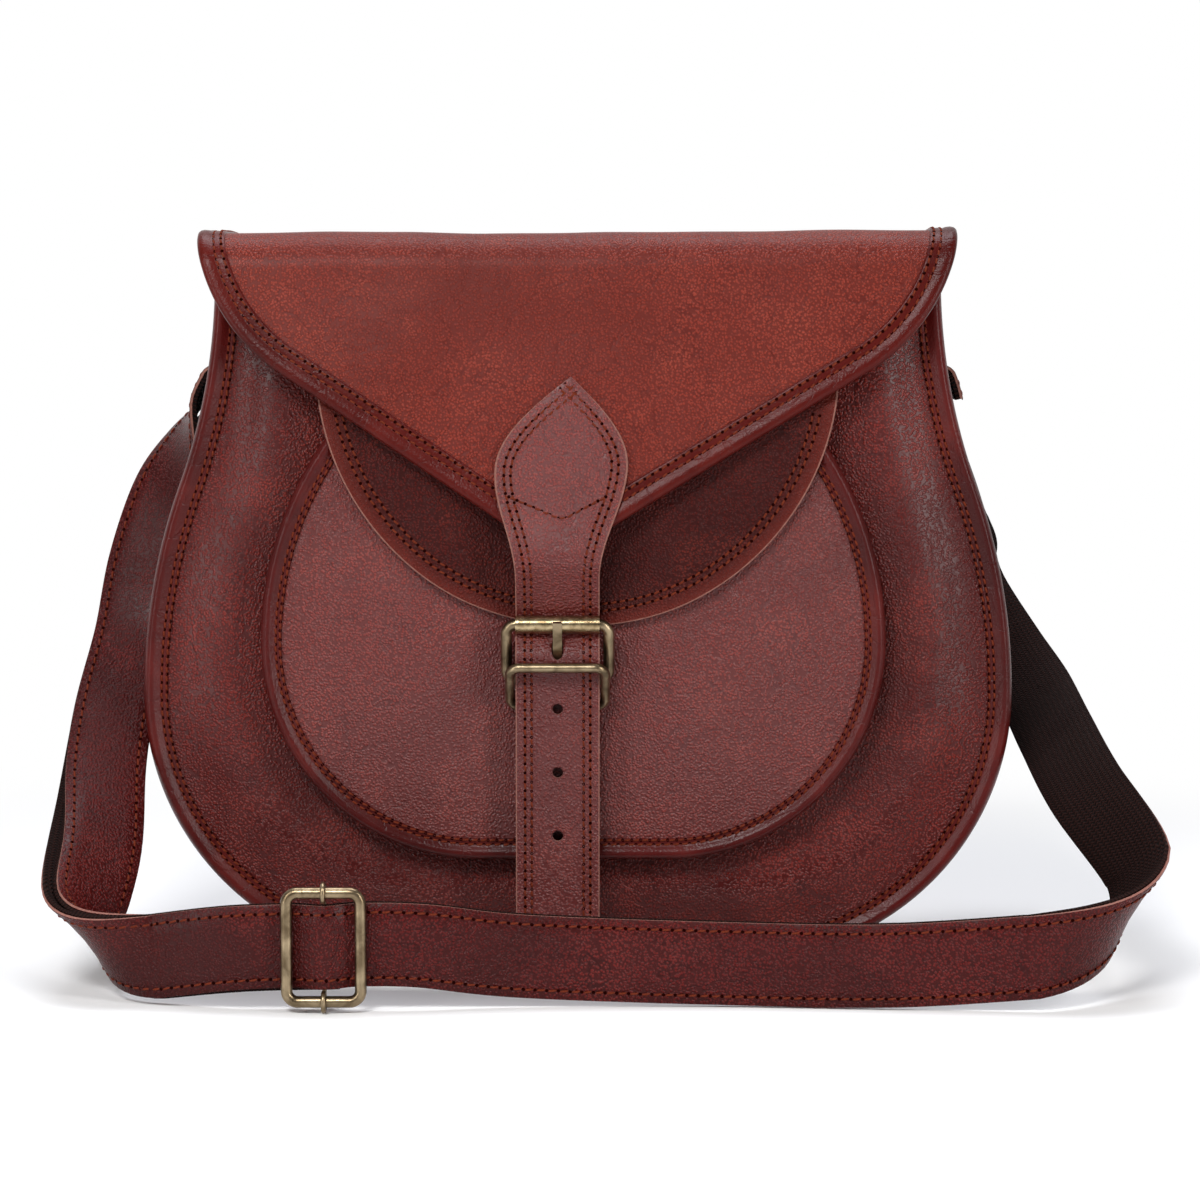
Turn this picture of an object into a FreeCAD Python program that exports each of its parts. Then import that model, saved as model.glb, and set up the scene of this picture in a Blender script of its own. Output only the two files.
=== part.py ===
import FreeCAD, Part
import Sketcher
import math
import os

# Saddle handbag with a horseshoe body, a buckled front flap and a slider strap.
# X runs to the right, Y to the back and Z up. The origin is the middle of the
# front rim's flat foot: Y zero is the mid-plane of the front panel.

doc = FreeCAD.newDocument("saddle_handbag")
sheet = doc.addObject("Spreadsheet::Sheet", "Sheet")

SIZES = [
    ("body_half_width", 166), ("body_height", 264), ("neck_half_width", 137.5),
    ("corner_radius", 103), ("gusset_depth", 70), ("leather", 1.6),
    ("binding_leather", 1), ("binding_width", 9), ("lining_cloth", 0.6),
    ("edge_tuck", 1.1), ("seam_gap", 0.1),
    ("pocket_x", -1.7), ("pocket_half_width", 118), ("pocket_foot", 42), ("pocket_corner", 82),
    ("pocket_top", 206), ("pocket_mouth_half", 90), ("pocket_depth", 14),
    ("pocket_binding_width", 8), ("pocket_flap_radius", 98), ("pocket_flap_z", 229),
    ("pocket_flap_notch", 22.5), ("pocket_flap_notch_z", 140.5),
    ("flap_half_width", 144), ("flap_shoulder_z", 248), ("flap_tip_z", 157),
    ("flap_corner", 72), ("flap_top_z", 279), ("flap_back_bend", 14),
    ("flap_front_bend", 16), ("flap_slope", 10), ("flap_binding_width", 10.5),
    ("flap_stand_off", 4.4), ("hinge_gap", 0.4),
    ("closure_x", -7.5), ("closure_half_width", 15.75), ("leaf_half_width", 24.8),
    ("leaf_top_z", 225), ("leaf_wide_z", 191), ("leaf_neck_z", 150),
    ("closure_foot_z", 6), ("closure_ply", 1.2), ("closure_backing", 1),
    ("hole_radius", 2), ("hole_first_z", 100.5), ("hole_pitch", 24),
    ("slot_z", 123.2), ("slot_half_height", 3.8), ("slot_half_width", 2.4),
    ("buckle_wire", 2.1), ("buckle_half_width", 19.2), ("buckle_reach", 23),
    ("buckle_corner", 4), ("buckle_tilt", 20.7), ("heel_z", 111),
    ("roller_radius", 3.4), ("roller_bore", 2.3), ("roller_half_length", 15.75),
    ("prong_half_width", 1.7), ("prong_metal", 1.6),
    ("keeper_wire", 1.8), ("keeper_half_width", 17.9), ("keeper_reach", 20.5),
    ("keeper_tilt", 40), ("keeper_z", 101),
    ("chape_leather", 1.6), ("chape_half_width", 14.5), ("chape_foot_z", 76),
    ("ring_wire", 2), ("ring_half_width", 20.5), ("ring_reach", 19),
    ("ring_corner", 4.5), ("ring_tilt", 25), ("ring_z", 240), ("ring_y", 45),
    ("tab_leather", 2), ("tab_half_width", 14), ("tab_top_z", 258),
    ("rivet_radius", 2), ("rivet_head", 4.2), ("rivet_z", 251),
    ("strap_front_reach", 98), ("strap_right_reach", 163), ("strap_left_reach", 152),
    ("strap_half_width", 15), ("strap_leather_ply", 1.5), ("strap_web_ply", 1.6),
    ("slider_x", -90), ("slider_half_width", 13.2), ("slider_half_height", 19.6),
    ("slider_wire", 2.1), ("slider_corner", 4), ("slider_bar_wire", 0.9),
]
for row, (alias, size) in enumerate(SIZES, start=1):
    sheet.set(f"B{row}", str(size))
    sheet.setAlias(f"B{row}", alias)
doc.recompute()


class Dim:
    """A length known both as a number and as an expression on the sheet."""

    def __init__(self, text, value):
        self.text = text
        self.value = float(value)

    @staticmethod
    def of(other):
        return other if isinstance(other, Dim) else Dim(repr(other), other)

    def __add__(self, other):
        other = Dim.of(other)
        return Dim(f"({self.text} + {other.text})", self.value + other.value)

    def __sub__(self, other):
        other = Dim.of(other)
        return Dim(f"({self.text} - {other.text})", self.value - other.value)

    def __mul__(self, other):
        other = Dim.of(other)
        return Dim(f"({self.text} * {other.text})", self.value * other.value)

    def __truediv__(self, other):
        other = Dim.of(other)
        return Dim(f"({self.text} / {other.text})", self.value / other.value)

    def __radd__(self, other):
        return Dim.of(other) + self

    def __rsub__(self, other):
        return Dim.of(other) - self

    def __rmul__(self, other):
        return Dim.of(other) * self

    def __neg__(self):
        return Dim(f"(0 - {self.text})", -self.value)


def root(dim):
    return Dim(f"sqrt({dim.text})", math.sqrt(dim.value))


def sine(dim):
    return Dim(f"sin({dim.text})", math.sin(math.radians(dim.value)))


def cosine(dim):
    return Dim(f"cos({dim.text})", math.cos(math.radians(dim.value)))


def size(alias):
    return Dim(f"Sheet.{alias}", sheet.get(alias))


def bind(owner, prop, dim):
    if "Sheet." in dim.text:
        owner.setExpression(prop, dim.text)


def new_body(name):
    body = doc.addObject("PartDesign::Body", name)
    body.Label = name
    return body


def new_sketch(body, plane, offset=0.0):
    """A sketch on one of the body's origin planes, moved along its normal."""
    support = [f for f in body.Origin.OriginFeatures if f.Role == plane][0]
    sketch = body.newObject("Sketcher::SketchObject", f"{body.Name}_sketch")
    sketch.AttachmentSupport = [(support, "")]
    sketch.MapMode = "FlatFace"
    offset = Dim.of(offset)
    sketch.AttachmentOffset = FreeCAD.Placement(FreeCAD.Vector(0, 0, offset.value), FreeCAD.Rotation())
    bind(sketch, "AttachmentOffset.Base.z", offset)
    return sketch


def pin(sketch, kind, refs, dim):
    index = sketch.addConstraint(Sketcher.Constraint(kind, *refs, dim.value))
    bind(sketch, f"Constraints[{index}]", dim)


def trace(sketch, corners):
    """Draw a closed outline. Each corner is (u, v) or (u, v, turn, centre_u, centre_v, radius),
    where the arc leaves that corner and turn is +1 for anticlockwise."""
    corners = [tuple(Dim.of(c) for c in corner) for corner in corners]
    edges = []
    for corner, after in zip(corners, corners[1:] + corners[:1]):
        begin = FreeCAD.Vector(corner[0].value, corner[1].value, 0)
        end = FreeCAD.Vector(after[0].value, after[1].value, 0)
        if len(corner) == 2:
            edges.append((sketch.addGeometry(Part.LineSegment(begin, end)), 1, 2))
            continue
        centre = FreeCAD.Vector(corner[3].value, corner[4].value, 0)
        circle = Part.Circle(centre, FreeCAD.Vector(0, 0, 1), corner[5].value)
        first = math.atan2(begin.y - centre.y, begin.x - centre.x)
        last = math.atan2(end.y - centre.y, end.x - centre.x)
        if corner[2].value > 0:
            arc = Part.ArcOfCircle(circle, first, last if last > first else last + 2 * math.pi)
            edges.append((sketch.addGeometry(arc), 1, 2))
        else:
            arc = Part.ArcOfCircle(circle, last, first if first > last else first + 2 * math.pi)
            edges.append((sketch.addGeometry(arc), 2, 1))
    for (edge, start, end), (after, after_start, after_end) in zip(edges, edges[1:] + edges[:1]):
        sketch.addConstraint(Sketcher.Constraint("Coincident", edge, end, after, after_start))
    for corner, (edge, start, end) in zip(corners, edges):
        pin(sketch, "DistanceX", (-1, 1, edge, start), corner[0])
        pin(sketch, "DistanceY", (-1, 1, edge, start), corner[1])
    for corner, after, (edge, start, end) in zip(corners, corners[1:] + corners[:1], edges):
        if len(corner) == 2:
            continue
        level = abs(after[0].value - corner[0].value) > abs(after[1].value - corner[1].value)
        if level:
            pin(sketch, "DistanceY", (-1, 1, edge, 3), corner[4])
        else:
            pin(sketch, "DistanceX", (-1, 1, edge, 3), corner[3])


def ring_mark(sketch, u, v, radius):
    u, v = Dim.of(u), Dim.of(v)
    circle = Part.Circle(FreeCAD.Vector(u.value, v.value, 0), FreeCAD.Vector(0, 0, 1), radius.value)
    edge = sketch.addGeometry(circle)
    pin(sketch, "DistanceX", (-1, 1, edge, 3), u)
    pin(sketch, "DistanceY", (-1, 1, edge, 3), v)
    pin(sketch, "Radius", (edge,), radius)


def pad(body, sketch, length, symmetric=False):
    feature = body.newObject("PartDesign::Pad", f"{body.Name}_pad")
    feature.Profile = sketch
    if symmetric:
        feature.SideType = "Symmetric"
    feature.Length = length.value
    bind(feature, "Length", length)
    return feature


def pocket(body, sketch, length=None):
    """Cut the sketch straight back into the body, or right through it both ways."""
    feature = body.newObject("PartDesign::Pocket", f"{body.Name}_pocket")
    feature.Profile = sketch
    if length is None:
        feature.SideType = "Symmetric"
        feature.Type = "ThroughAll"
    else:
        feature.Length = length.value
        bind(feature, "Length", length)
    return feature


leather = size("leather")
binding_leather = size("binding_leather")
edge_tuck = size("edge_tuck")
seam_gap = size("seam_gap")
half_leather = leather / 2
back_inner = half_leather + size("gusset_depth")
back_outer = back_inner + leather

# Body: two horseshoe panels held apart by a U-shaped gusset, each with a folded
# leather binding over its edge and a fabric tub inside.

body_half = size("body_half_width")
body_height = size("body_height")
neck_half = size("neck_half_width")
corner_radius = size("corner_radius")
side_run = body_half - neck_half
side_rise = body_height - corner_radius
side_radius = (side_run * side_run + side_rise * side_rise) / (4 * side_run)
side_cos = 1 - side_run / (2 * side_radius)
side_sin = side_rise / (2 * side_radius)


def horseshoe(inset, over=0):
    """The body outline moved inwards by inset and carried above the top by over."""
    inset = Dim.of(inset)
    flat = body_half - corner_radius
    mid_u = (body_half + neck_half) / 2 - inset * side_cos
    mid_v = (corner_radius + body_height) / 2 - inset * side_sin
    wide = body_half - inset
    neck = neck_half - inset
    low = corner_radius - inset
    bulge = side_radius - inset
    waist = side_radius + inset
    inner_u = body_half - side_radius
    outer_u = neck_half + side_radius
    corners = [
        (-flat, inset), (flat, inset, 1, flat, corner_radius, low),
        (wide, corner_radius, 1, inner_u, corner_radius, bulge),
        (mid_u, mid_v, -1, outer_u, body_height, waist), (neck, body_height),
    ]
    if over:
        corners += [(neck, body_height + over), (-neck, body_height + over)]
    corners += [
        (-neck, body_height, -1, -outer_u, body_height, waist),
        (-mid_u, mid_v, 1, -inner_u, corner_radius, bulge),
        (-wide, corner_radius, 1, -flat, corner_radius, low),
    ]
    return corners


def plate(name, outline, front_y, thickness):
    """A flat piece whose front face lies at front_y and which runs to the back."""
    body = new_body(name)
    sketch = new_sketch(body, "XZ_Plane", -(front_y + thickness))
    trace(sketch, outline)
    pad(body, sketch, thickness)
    return body


def folded_binding(name, outlines, panel_front_y):
    """A strip folded over a panel's edge: outer outline, groove outline and inner outline."""
    outer, groove, inner = outlines
    body = new_body(name)
    front_y = panel_front_y - binding_leather
    depth = leather + 2 * binding_leather
    sketch = new_sketch(body, "XZ_Plane", -(front_y + depth))
    trace(sketch, outer)
    pad(body, sketch, depth)
    doc.recompute()
    opening = new_sketch(body, "XZ_Plane", 0)
    trace(opening, inner)
    pocket(body, opening)
    doc.recompute()
    channel = new_sketch(body, "XZ_Plane", -panel_front_y)
    trace(channel, groove)
    pocket(body, channel, leather)
    return body


front_y = -half_leather
plate("front_panel", horseshoe(edge_tuck), front_y, leather)
plate("back_panel", horseshoe(edge_tuck), back_inner, leather)
RIM_OVER = 2
rim_inset = size("binding_width")
rim_outlines = (horseshoe(0), horseshoe(binding_leather, RIM_OVER), horseshoe(rim_inset, RIM_OVER))
folded_binding("front_edge_binding", rim_outlines, front_y)
folded_binding("back_edge_binding", rim_outlines, back_inner)


def trough(name, outer_inset, wall, start_y, depth, outline, end_wall=None):
    """An open-topped U-shaped wall between two Y positions, with end walls if wanted."""
    body = plate(name, outline(outer_inset), start_y, depth)
    doc.recompute()
    if end_wall is None:
        opening = new_sketch(body, "XZ_Plane", 0)
        trace(opening, outline(outer_inset + wall, RIM_OVER))
        pocket(body, opening)
    else:
        opening = new_sketch(body, "XZ_Plane", -(start_y + end_wall))
        trace(opening, outline(outer_inset + wall, RIM_OVER))
        pocket(body, opening, depth - 2 * end_wall)
    return body


GUSSET_CLEAR = 0.3
gusset_inset = rim_inset + GUSSET_CLEAR
trough("gusset", gusset_inset, leather, half_leather, size("gusset_depth"), horseshoe)
lining_cloth = size("lining_cloth")
trough("lining", gusset_inset + leather + seam_gap, lining_cloth, half_leather + seam_gap,
       size("gusset_depth") - 2 * seam_gap, horseshoe, lining_cloth)

# Front pocket: a smaller rounded panel on its own gusset, bound round the edge.

pocket_half = size("pocket_half_width")
pocket_foot = size("pocket_foot")
pocket_corner = size("pocket_corner")
pocket_top = size("pocket_top")
mouth_half = size("pocket_mouth_half")
pocket_side_z = pocket_foot + pocket_corner
mouth_run = pocket_half - mouth_half
mouth_rise = pocket_top - pocket_side_z
pocket_side = (mouth_run * mouth_run + mouth_rise * mouth_rise) / (2 * mouth_run)
pocket_side_u = pocket_half - pocket_side


def pocket_outline(inset, over=0):
    inset = Dim.of(inset)
    flat = pocket_half - pocket_corner
    top = pocket_top + over
    reach = pocket_side - inset
    rise = top - pocket_side_z
    mouth = pocket_side_u + root(reach * reach - rise * rise)
    wide = pocket_half - inset
    low = pocket_corner - inset
    x = size("pocket_x")
    return [
        (x - flat, pocket_foot + inset), (x + flat, pocket_foot + inset, 1, x + flat, pocket_side_z, low),
        (x + wide, pocket_side_z, 1, x + pocket_side_u, pocket_side_z, reach), (x + mouth, top),
        (x - mouth, top, 1, x - pocket_side_u, pocket_side_z, reach),
        (x - wide, pocket_side_z, 1, x - flat, pocket_side_z, low),
    ]


pocket_inner = front_y - size("pocket_depth")
pocket_outer = pocket_inner - leather
plate("pocket_panel", pocket_outline(edge_tuck), pocket_outer, leather)
pocket_rim = size("pocket_binding_width")
pocket_outlines = (pocket_outline(0), pocket_outline(binding_leather, RIM_OVER),
                   pocket_outline(pocket_rim, RIM_OVER))
folded_binding("pocket_binding", pocket_outlines, pocket_outer)
trough("pocket_gusset", pocket_rim + GUSSET_CLEAR, leather, pocket_inner, size("pocket_depth"),
       pocket_outline)

# Pocket flap: a half disc hinged on the front panel that folds over the pocket mouth.

closure_x = size("closure_x")
FLAP_LIFT = 0.4
FLAP_LEAD = 0.2
FOLD_RISE = 2
FOLD_DROP = 2.4
BEND_RISE = 6
BEND_SET = 1
CUT_OVER = 5
outside = body_half + body_height
fold_top = size("pocket_flap_z") + FOLD_RISE
disc = size("pocket_flap_radius")
disc_z = size("pocket_flap_z")
cover_inner = pocket_outer - binding_leather - FLAP_LIFT
cover_outer = cover_inner - leather
root_y = front_y - FLAP_LEAD
bend_z = pocket_top + BEND_RISE
cover_foot = disc_z - disc - CUT_OVER

body = new_body("pocket_flap")
sketch = new_sketch(body, "YZ_Plane", 0)
trace(sketch, [
    (root_y, fold_top), (cover_outer, bend_z), (cover_outer, cover_foot),
    (cover_inner, cover_foot), (cover_inner, bend_z - BEND_SET), (root_y, fold_top - FOLD_DROP),
])
pad(body, sketch, 2 * disc, symmetric=True)
doc.recompute()
sketch = new_sketch(body, "XZ_Plane", 0)
trace(sketch, [(-outside, -outside), (outside, -outside), (outside, outside), (-outside, outside)])
trace(sketch, [
    (-disc, disc_z, 1, 0, disc_z, disc), (disc, disc_z),
    (disc, fold_top + CUT_OVER), (-disc, fold_top + CUT_OVER),
])
pocket(body, sketch)
doc.recompute()
notch = size("pocket_flap_notch")
notch_z = size("pocket_flap_notch_z")
sketch = new_sketch(body, "XZ_Plane", 0)
trace(sketch, [
    (closure_x - notch, cover_foot - CUT_OVER), (closure_x + notch, cover_foot - CUT_OVER),
    (closure_x + notch, notch_z), (closure_x - notch, notch_z),
])
pocket(body, sketch)

# Main flap: one sheet that rises from the back panel's top edge, runs over the
# bag and slopes down the front to a point, lined inside and bound along its edge.

flap_half = size("flap_half_width")
shoulder_z = size("flap_shoulder_z")
flap_tip = size("flap_tip_z")
flap_corner = size("flap_corner")
flap_top = size("flap_top_z")
back_bend = size("flap_back_bend")
front_bend = size("flap_front_bend")
slope = size("flap_slope")
slope_cos = cosine(slope)
slope_sin = sine(slope)
slope_tan = slope_sin / slope_cos
hinge_z = body_height + size("hinge_gap")
back_bend_y = back_outer - back_bend
back_bend_z = flap_top - back_bend
front_bend_z = flap_top - front_bend
flap_face_y = cover_outer - size("flap_stand_off")
front_line_z = front_bend_z + front_bend * slope_sin
front_bend_y = flap_face_y + (front_line_z - bend_z) * slope_tan + front_bend * slope_cos


def flap_line(z, lift):
    """Y of the flap's front slope at height z, lifted outwards from the leather's face."""
    lift = Dim.of(lift)
    return front_bend_y - front_bend * slope_cos - (front_line_z - z) * slope_tan - lift / slope_cos


def flap_band(low, high, foot_z):
    """Side profile of a sheet between two lifts measured from the leather's outer face."""
    low, high = Dim.of(low), Dim.of(high)
    corners = []
    for lift in (high, low):
        back = back_bend + lift
        front = front_bend + lift
        run = [
            (back_outer + lift, hinge_z),
            (back_outer + lift, back_bend_z, 1, back_bend_y, back_bend_z, back),
            (back_bend_y, flap_top + lift),
            (front_bend_y, flap_top + lift, 1, front_bend_y, front_bend_z, front),
            (front_bend_y - front * slope_cos, front_bend_z + front * slope_sin),
            (flap_line(foot_z, lift), foot_z),
        ]
        if lift is high:
            corners += run
            continue
        corners += [
            run[5],
            (run[4][0], run[4][1], -1, front_bend_y, front_bend_z, front), run[3][:2],
            (run[2][0], run[2][1], -1, back_bend_y, back_bend_z, back), run[1][:2], run[0],
        ]
    return corners


flap_rise = shoulder_z - flap_tip


class FlapEdge:
    """One straight edge of the pointed outline, from the tip up to its rounded shoulder."""

    def __init__(self, side):
        self.side = side
        self.run = flap_half - side * closure_x
        self.length = root(self.run * self.run + flap_rise * flap_rise)
        reach = flap_corner * (self.length - flap_rise) / self.run
        self.level = self.run / self.length
        self.climb = flap_rise / self.length
        self.corner_z = shoulder_z + reach
        self.corner_u = flap_half - reach * self.level
        self.corner_v = shoulder_z - reach * self.climb

    def touch(self, inset):
        return self.side * (self.corner_u - inset * self.climb), self.corner_v + inset * self.level


left_edge = FlapEdge(-1)
right_edge = FlapEdge(1)


def flap_outline(inset):
    """The pointed outline moved inwards, from the left shoulder round the tip to the right one."""
    inset = Dim.of(inset)
    share = 1 + left_edge.level * right_edge.level - left_edge.climb * right_edge.climb
    tip_u = closure_x + inset * (left_edge.climb - right_edge.climb) / share
    tip_v = flap_tip + inset * (left_edge.level + right_edge.level) / share
    half = flap_half - inset
    arc_u = flap_half - flap_corner
    radius = flap_corner - inset
    left_touch = left_edge.touch(inset)
    right_touch = right_edge.touch(inset)
    return [
        (-half, left_edge.corner_z, 1, -arc_u, left_edge.corner_z, radius), left_touch, (tip_u, tip_v),
        (right_touch[0], right_touch[1], 1, arc_u, right_edge.corner_z, radius), (half, right_edge.corner_z),
    ]


def flap_trim(body, inset):
    """Cut away all that lies outside the pointed outline."""
    sketch = new_sketch(body, "XZ_Plane", 0)
    trace(sketch, [(-outside, left_edge.corner_z)] + flap_outline(inset) + [
        (outside, right_edge.corner_z), (outside, -outside), (-outside, -outside)])
    pocket(body, sketch)
    doc.recompute()


def flap_sheet(name, low, high, inset):
    body = new_body(name)
    sketch = new_sketch(body, "YZ_Plane", 0)
    trace(sketch, flap_band(low, high, flap_tip - CUT_OVER))
    pad(body, sketch, 2 * (flap_half - inset), symmetric=True)
    doc.recompute()
    flap_trim(body, inset)
    return body


flap_lining_face = -leather - lining_cloth
flap_sheet("main_flap", -leather, 0, edge_tuck)
flap_sheet("flap_lining", flap_lining_face, -leather, edge_tuck)
shell = flap_sheet("flap_binding_shell", flap_lining_face - binding_leather, binding_leather, Dim.of(0))
flap_rim = size("flap_binding_width")
sketch = new_sketch(shell, "XZ_Plane", 0)
window = flap_outline(flap_rim)
trace(sketch, [(window[0][0], outside)] + window + [(window[-1][0], outside)])
pocket(shell, sketch)
doc.recompute()
filler = flap_sheet("flap_binding_filler", flap_lining_face, 0, binding_leather)
flap_binding = doc.addObject("Part::Cut", "flap_binding")
flap_binding.Base = shell
flap_binding.Tool = filler
doc.recompute()

# Buckle: a chape sewn on the pocket holds the heel bar and the keeper. Frame, roller
# and prong are drawn in the buckle's own plane with the heel bar at their origin.

buckle_wire = size("buckle_wire")
buckle_reach = size("buckle_reach")
buckle_tilt = size("buckle_tilt")
heel_z = size("heel_z")
chape_leather = size("chape_leather")
BAR_PLAY = 0.2
chape_back = pocket_outer - seam_gap
heel_y = chape_back - chape_leather - buckle_wire - BAR_PLAY
chape_bore = buckle_wire + BAR_PLAY
chape_outer = chape_bore + chape_leather
chape_foot = size("chape_foot_z")

body = new_body("buckle_chape")
sketch = new_sketch(body, "YZ_Plane", closure_x)
trace(sketch, [
    (heel_y + chape_outer, chape_foot), (heel_y + chape_outer, heel_z, 1, heel_y, heel_z, chape_outer),
    (heel_y - chape_outer, heel_z), (heel_y - chape_outer, chape_foot), (heel_y - chape_bore, chape_foot),
    (heel_y - chape_bore, heel_z, -1, heel_y, heel_z, chape_bore),
    (heel_y + chape_bore, heel_z), (heel_y + chape_bore, chape_foot),
])
pad(body, sketch, 2 * size("chape_half_width"), symmetric=True)
doc.recompute()
prong_half = size("prong_half_width")
SLIT_PLAY = 1
SLIT_DROP = 6
SLIT_RISE = 8
slit = prong_half + SLIT_PLAY
sketch = new_sketch(body, "XZ_Plane", 0)
trace(sketch, [
    (closure_x - slit, heel_z - SLIT_DROP), (closure_x + slit, heel_z - SLIT_DROP),
    (closure_x + slit, heel_z + SLIT_RISE), (closure_x - slit, heel_z + SLIT_RISE),
])
pocket(body, sketch)


def place(body, x, y, z, axis=None, angle=None):
    """Put a body at a bound position, turned about one axis."""
    x, y, z = Dim.of(x), Dim.of(y), Dim.of(z)
    turn = FreeCAD.Rotation()
    if angle is not None:
        turn = FreeCAD.Rotation(FreeCAD.Vector(*axis), angle.value)
    body.Placement = FreeCAD.Placement(FreeCAD.Vector(x.value, y.value, z.value), turn)
    for prop, dim in (("x", x), ("y", y), ("z", z)):
        bind(body, f"Placement.Base.{prop}", dim)
    if angle is not None:
        bind(body, "Placement.Rotation.Angle", angle)


def wire_loop(name, plane, half, low, high, corner, wire):
    """A closed rounded rectangle of round wire in one origin plane, from low to high."""
    body = new_body(name)
    spine = new_sketch(body, plane, 0)
    trace(spine, [
        (0, high), (half - corner, high, -1, half - corner, high - corner, corner),
        (half, high - corner), (half, low + corner, -1, half - corner, low + corner, corner),
        (half - corner, low), (-half + corner, low, -1, -half + corner, low + corner, corner),
        (-half, low + corner), (-half, high - corner, -1, -half + corner, high - corner, corner),
        (-half + corner, high),
    ])
    if plane == "XZ_Plane":
        section = new_sketch(body, "YZ_Plane", 0)
        ring_mark(section, 0, high, wire)
    else:
        section = new_sketch(body, "XZ_Plane", 0)
        ring_mark(section, 0, high, wire)
    doc.recompute()
    pipe = body.newObject("PartDesign::AdditivePipe", f"{name}_pipe")
    pipe.Profile = section
    pipe.Spine = (spine, [])
    doc.recompute()
    return body


frame = wire_loop("buckle_frame", "XZ_Plane", size("buckle_half_width"), Dim.of(0), buckle_reach,
                  size("buckle_corner"), buckle_wire)
place(frame, closure_x, heel_y, heel_z, (1, 0, 0), buckle_tilt)

roller_radius = size("roller_radius")
roller = new_body("buckle_roller")
sketch = new_sketch(roller, "YZ_Plane", 0)
ring_mark(sketch, 0, buckle_reach, roller_radius)
ring_mark(sketch, 0, buckle_reach, size("roller_bore"))
pad(roller, sketch, 2 * size("roller_half_length"), symmetric=True)
place(roller, closure_x, heel_y, heel_z, (1, 0, 0), buckle_tilt)

prong_metal = size("prong_metal")
eye_inner = buckle_wire + BAR_PLAY
eye_outer = eye_inner + prong_metal
rest_y = -(roller_radius + BAR_PLAY)
PRONG_TIP = 3
PRONG_KNEE = 1
tip_v = buckle_reach + PRONG_TIP
prong = new_body("buckle_prong")
sketch = new_sketch(prong, "YZ_Plane", 0)
trace(sketch, [
    (0, -eye_outer, 1, 0, 0, eye_outer), (0, eye_outer), (-eye_inner, eye_outer), (rest_y, buckle_reach),
    (rest_y, tip_v), (rest_y - prong_metal, tip_v), (rest_y - prong_metal, buckle_reach - PRONG_KNEE),
    (-eye_outer, 0, 1, 0, 0, eye_outer),
])
ring_mark(sketch, 0, 0, eye_inner)
pad(prong, sketch, 2 * prong_half, symmetric=True)
place(prong, closure_x, heel_y, heel_z, (1, 0, 0), buckle_tilt)

keeper = wire_loop("keeper_loop", "XZ_Plane", size("keeper_half_width"), Dim.of(0), size("keeper_reach"),
                   size("buckle_corner"), size("keeper_wire"))
place(keeper, closure_x, heel_y, size("keeper_z"), (1, 0, 0), size("keeper_tilt"))

# Closure strap: a leaf sewn on the flap that narrows to a billet. It runs behind
# the roller, over the prong's base and the chape, and hangs down through the keeper.

closure_half = size("closure_half_width")
leaf_half = size("leaf_half_width")
leaf_top = size("leaf_top_z")
leaf_wide = size("leaf_wide_z")
leaf_neck = size("leaf_neck_z")
closure_foot = size("closure_foot_z")
tilt_cos = cosine(buckle_tilt)
tilt_sin = sine(buckle_tilt)
leaf_lift = binding_leather + seam_gap
WRAP_PLAY = 3.5
roller_y = heel_y - buckle_reach * tilt_sin
roller_z = heel_z + buckle_reach * tilt_cos
PRONG_CLEAR_Y = 5.5
PRONG_CLEAR_V = 12.5
HEEL_CLEAR_Y = 5.2
HEEL_CLEAR_V = -1.5
BILLET_LIFT = 0.4
closure_total = size("closure_ply") + size("closure_backing")
closure_path = [
    (flap_line(leaf_top + CUT_OVER, leaf_lift), leaf_top + CUT_OVER),
    (flap_line(flap_tip, leaf_lift), flap_tip),
    (roller_y + roller_radius + WRAP_PLAY + seam_gap, roller_z),
    (heel_y - PRONG_CLEAR_V * tilt_sin - PRONG_CLEAR_Y * tilt_cos,
     heel_z + PRONG_CLEAR_V * tilt_cos - PRONG_CLEAR_Y * tilt_sin),
    (heel_y - HEEL_CLEAR_V * tilt_sin - HEEL_CLEAR_Y * tilt_cos,
     heel_z + HEEL_CLEAR_V * tilt_cos - HEEL_CLEAR_Y * tilt_sin),
    (heel_y - chape_outer - BILLET_LIFT, chape_foot),
    (heel_y - chape_outer - BILLET_LIFT, closure_foot - CUT_OVER),
]


def leaf_outline():
    cap = leaf_top - leaf_wide
    cap_radius = (leaf_half * leaf_half + cap * cap) / (2 * leaf_half)
    run = leaf_half - closure_half
    drop = leaf_wide - leaf_neck
    sway = (run * run + drop * drop) / (4 * run)
    mid_u = (leaf_half + closure_half) / 2
    mid_v = (leaf_wide + leaf_neck) / 2
    toe = closure_foot + closure_half
    x = closure_x
    return [
        (x, leaf_top, 1, x - leaf_half + cap_radius, leaf_wide, cap_radius),
        (x - leaf_half, leaf_wide, 1, x - leaf_half + sway, leaf_wide, sway),
        (x - mid_u, mid_v, -1, x - closure_half - sway, leaf_neck, sway), (x - closure_half, leaf_neck),
        (x - closure_half, toe, 1, x, toe, closure_half),
        (x + closure_half, toe), (x + closure_half, leaf_neck, -1, x + closure_half + sway, leaf_neck, sway),
        (x + mid_u, mid_v, 1, x + leaf_half - sway, leaf_wide, sway),
        (x + leaf_half, leaf_wide, 1, x + leaf_half - cap_radius, leaf_wide, cap_radius),
    ]


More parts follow.
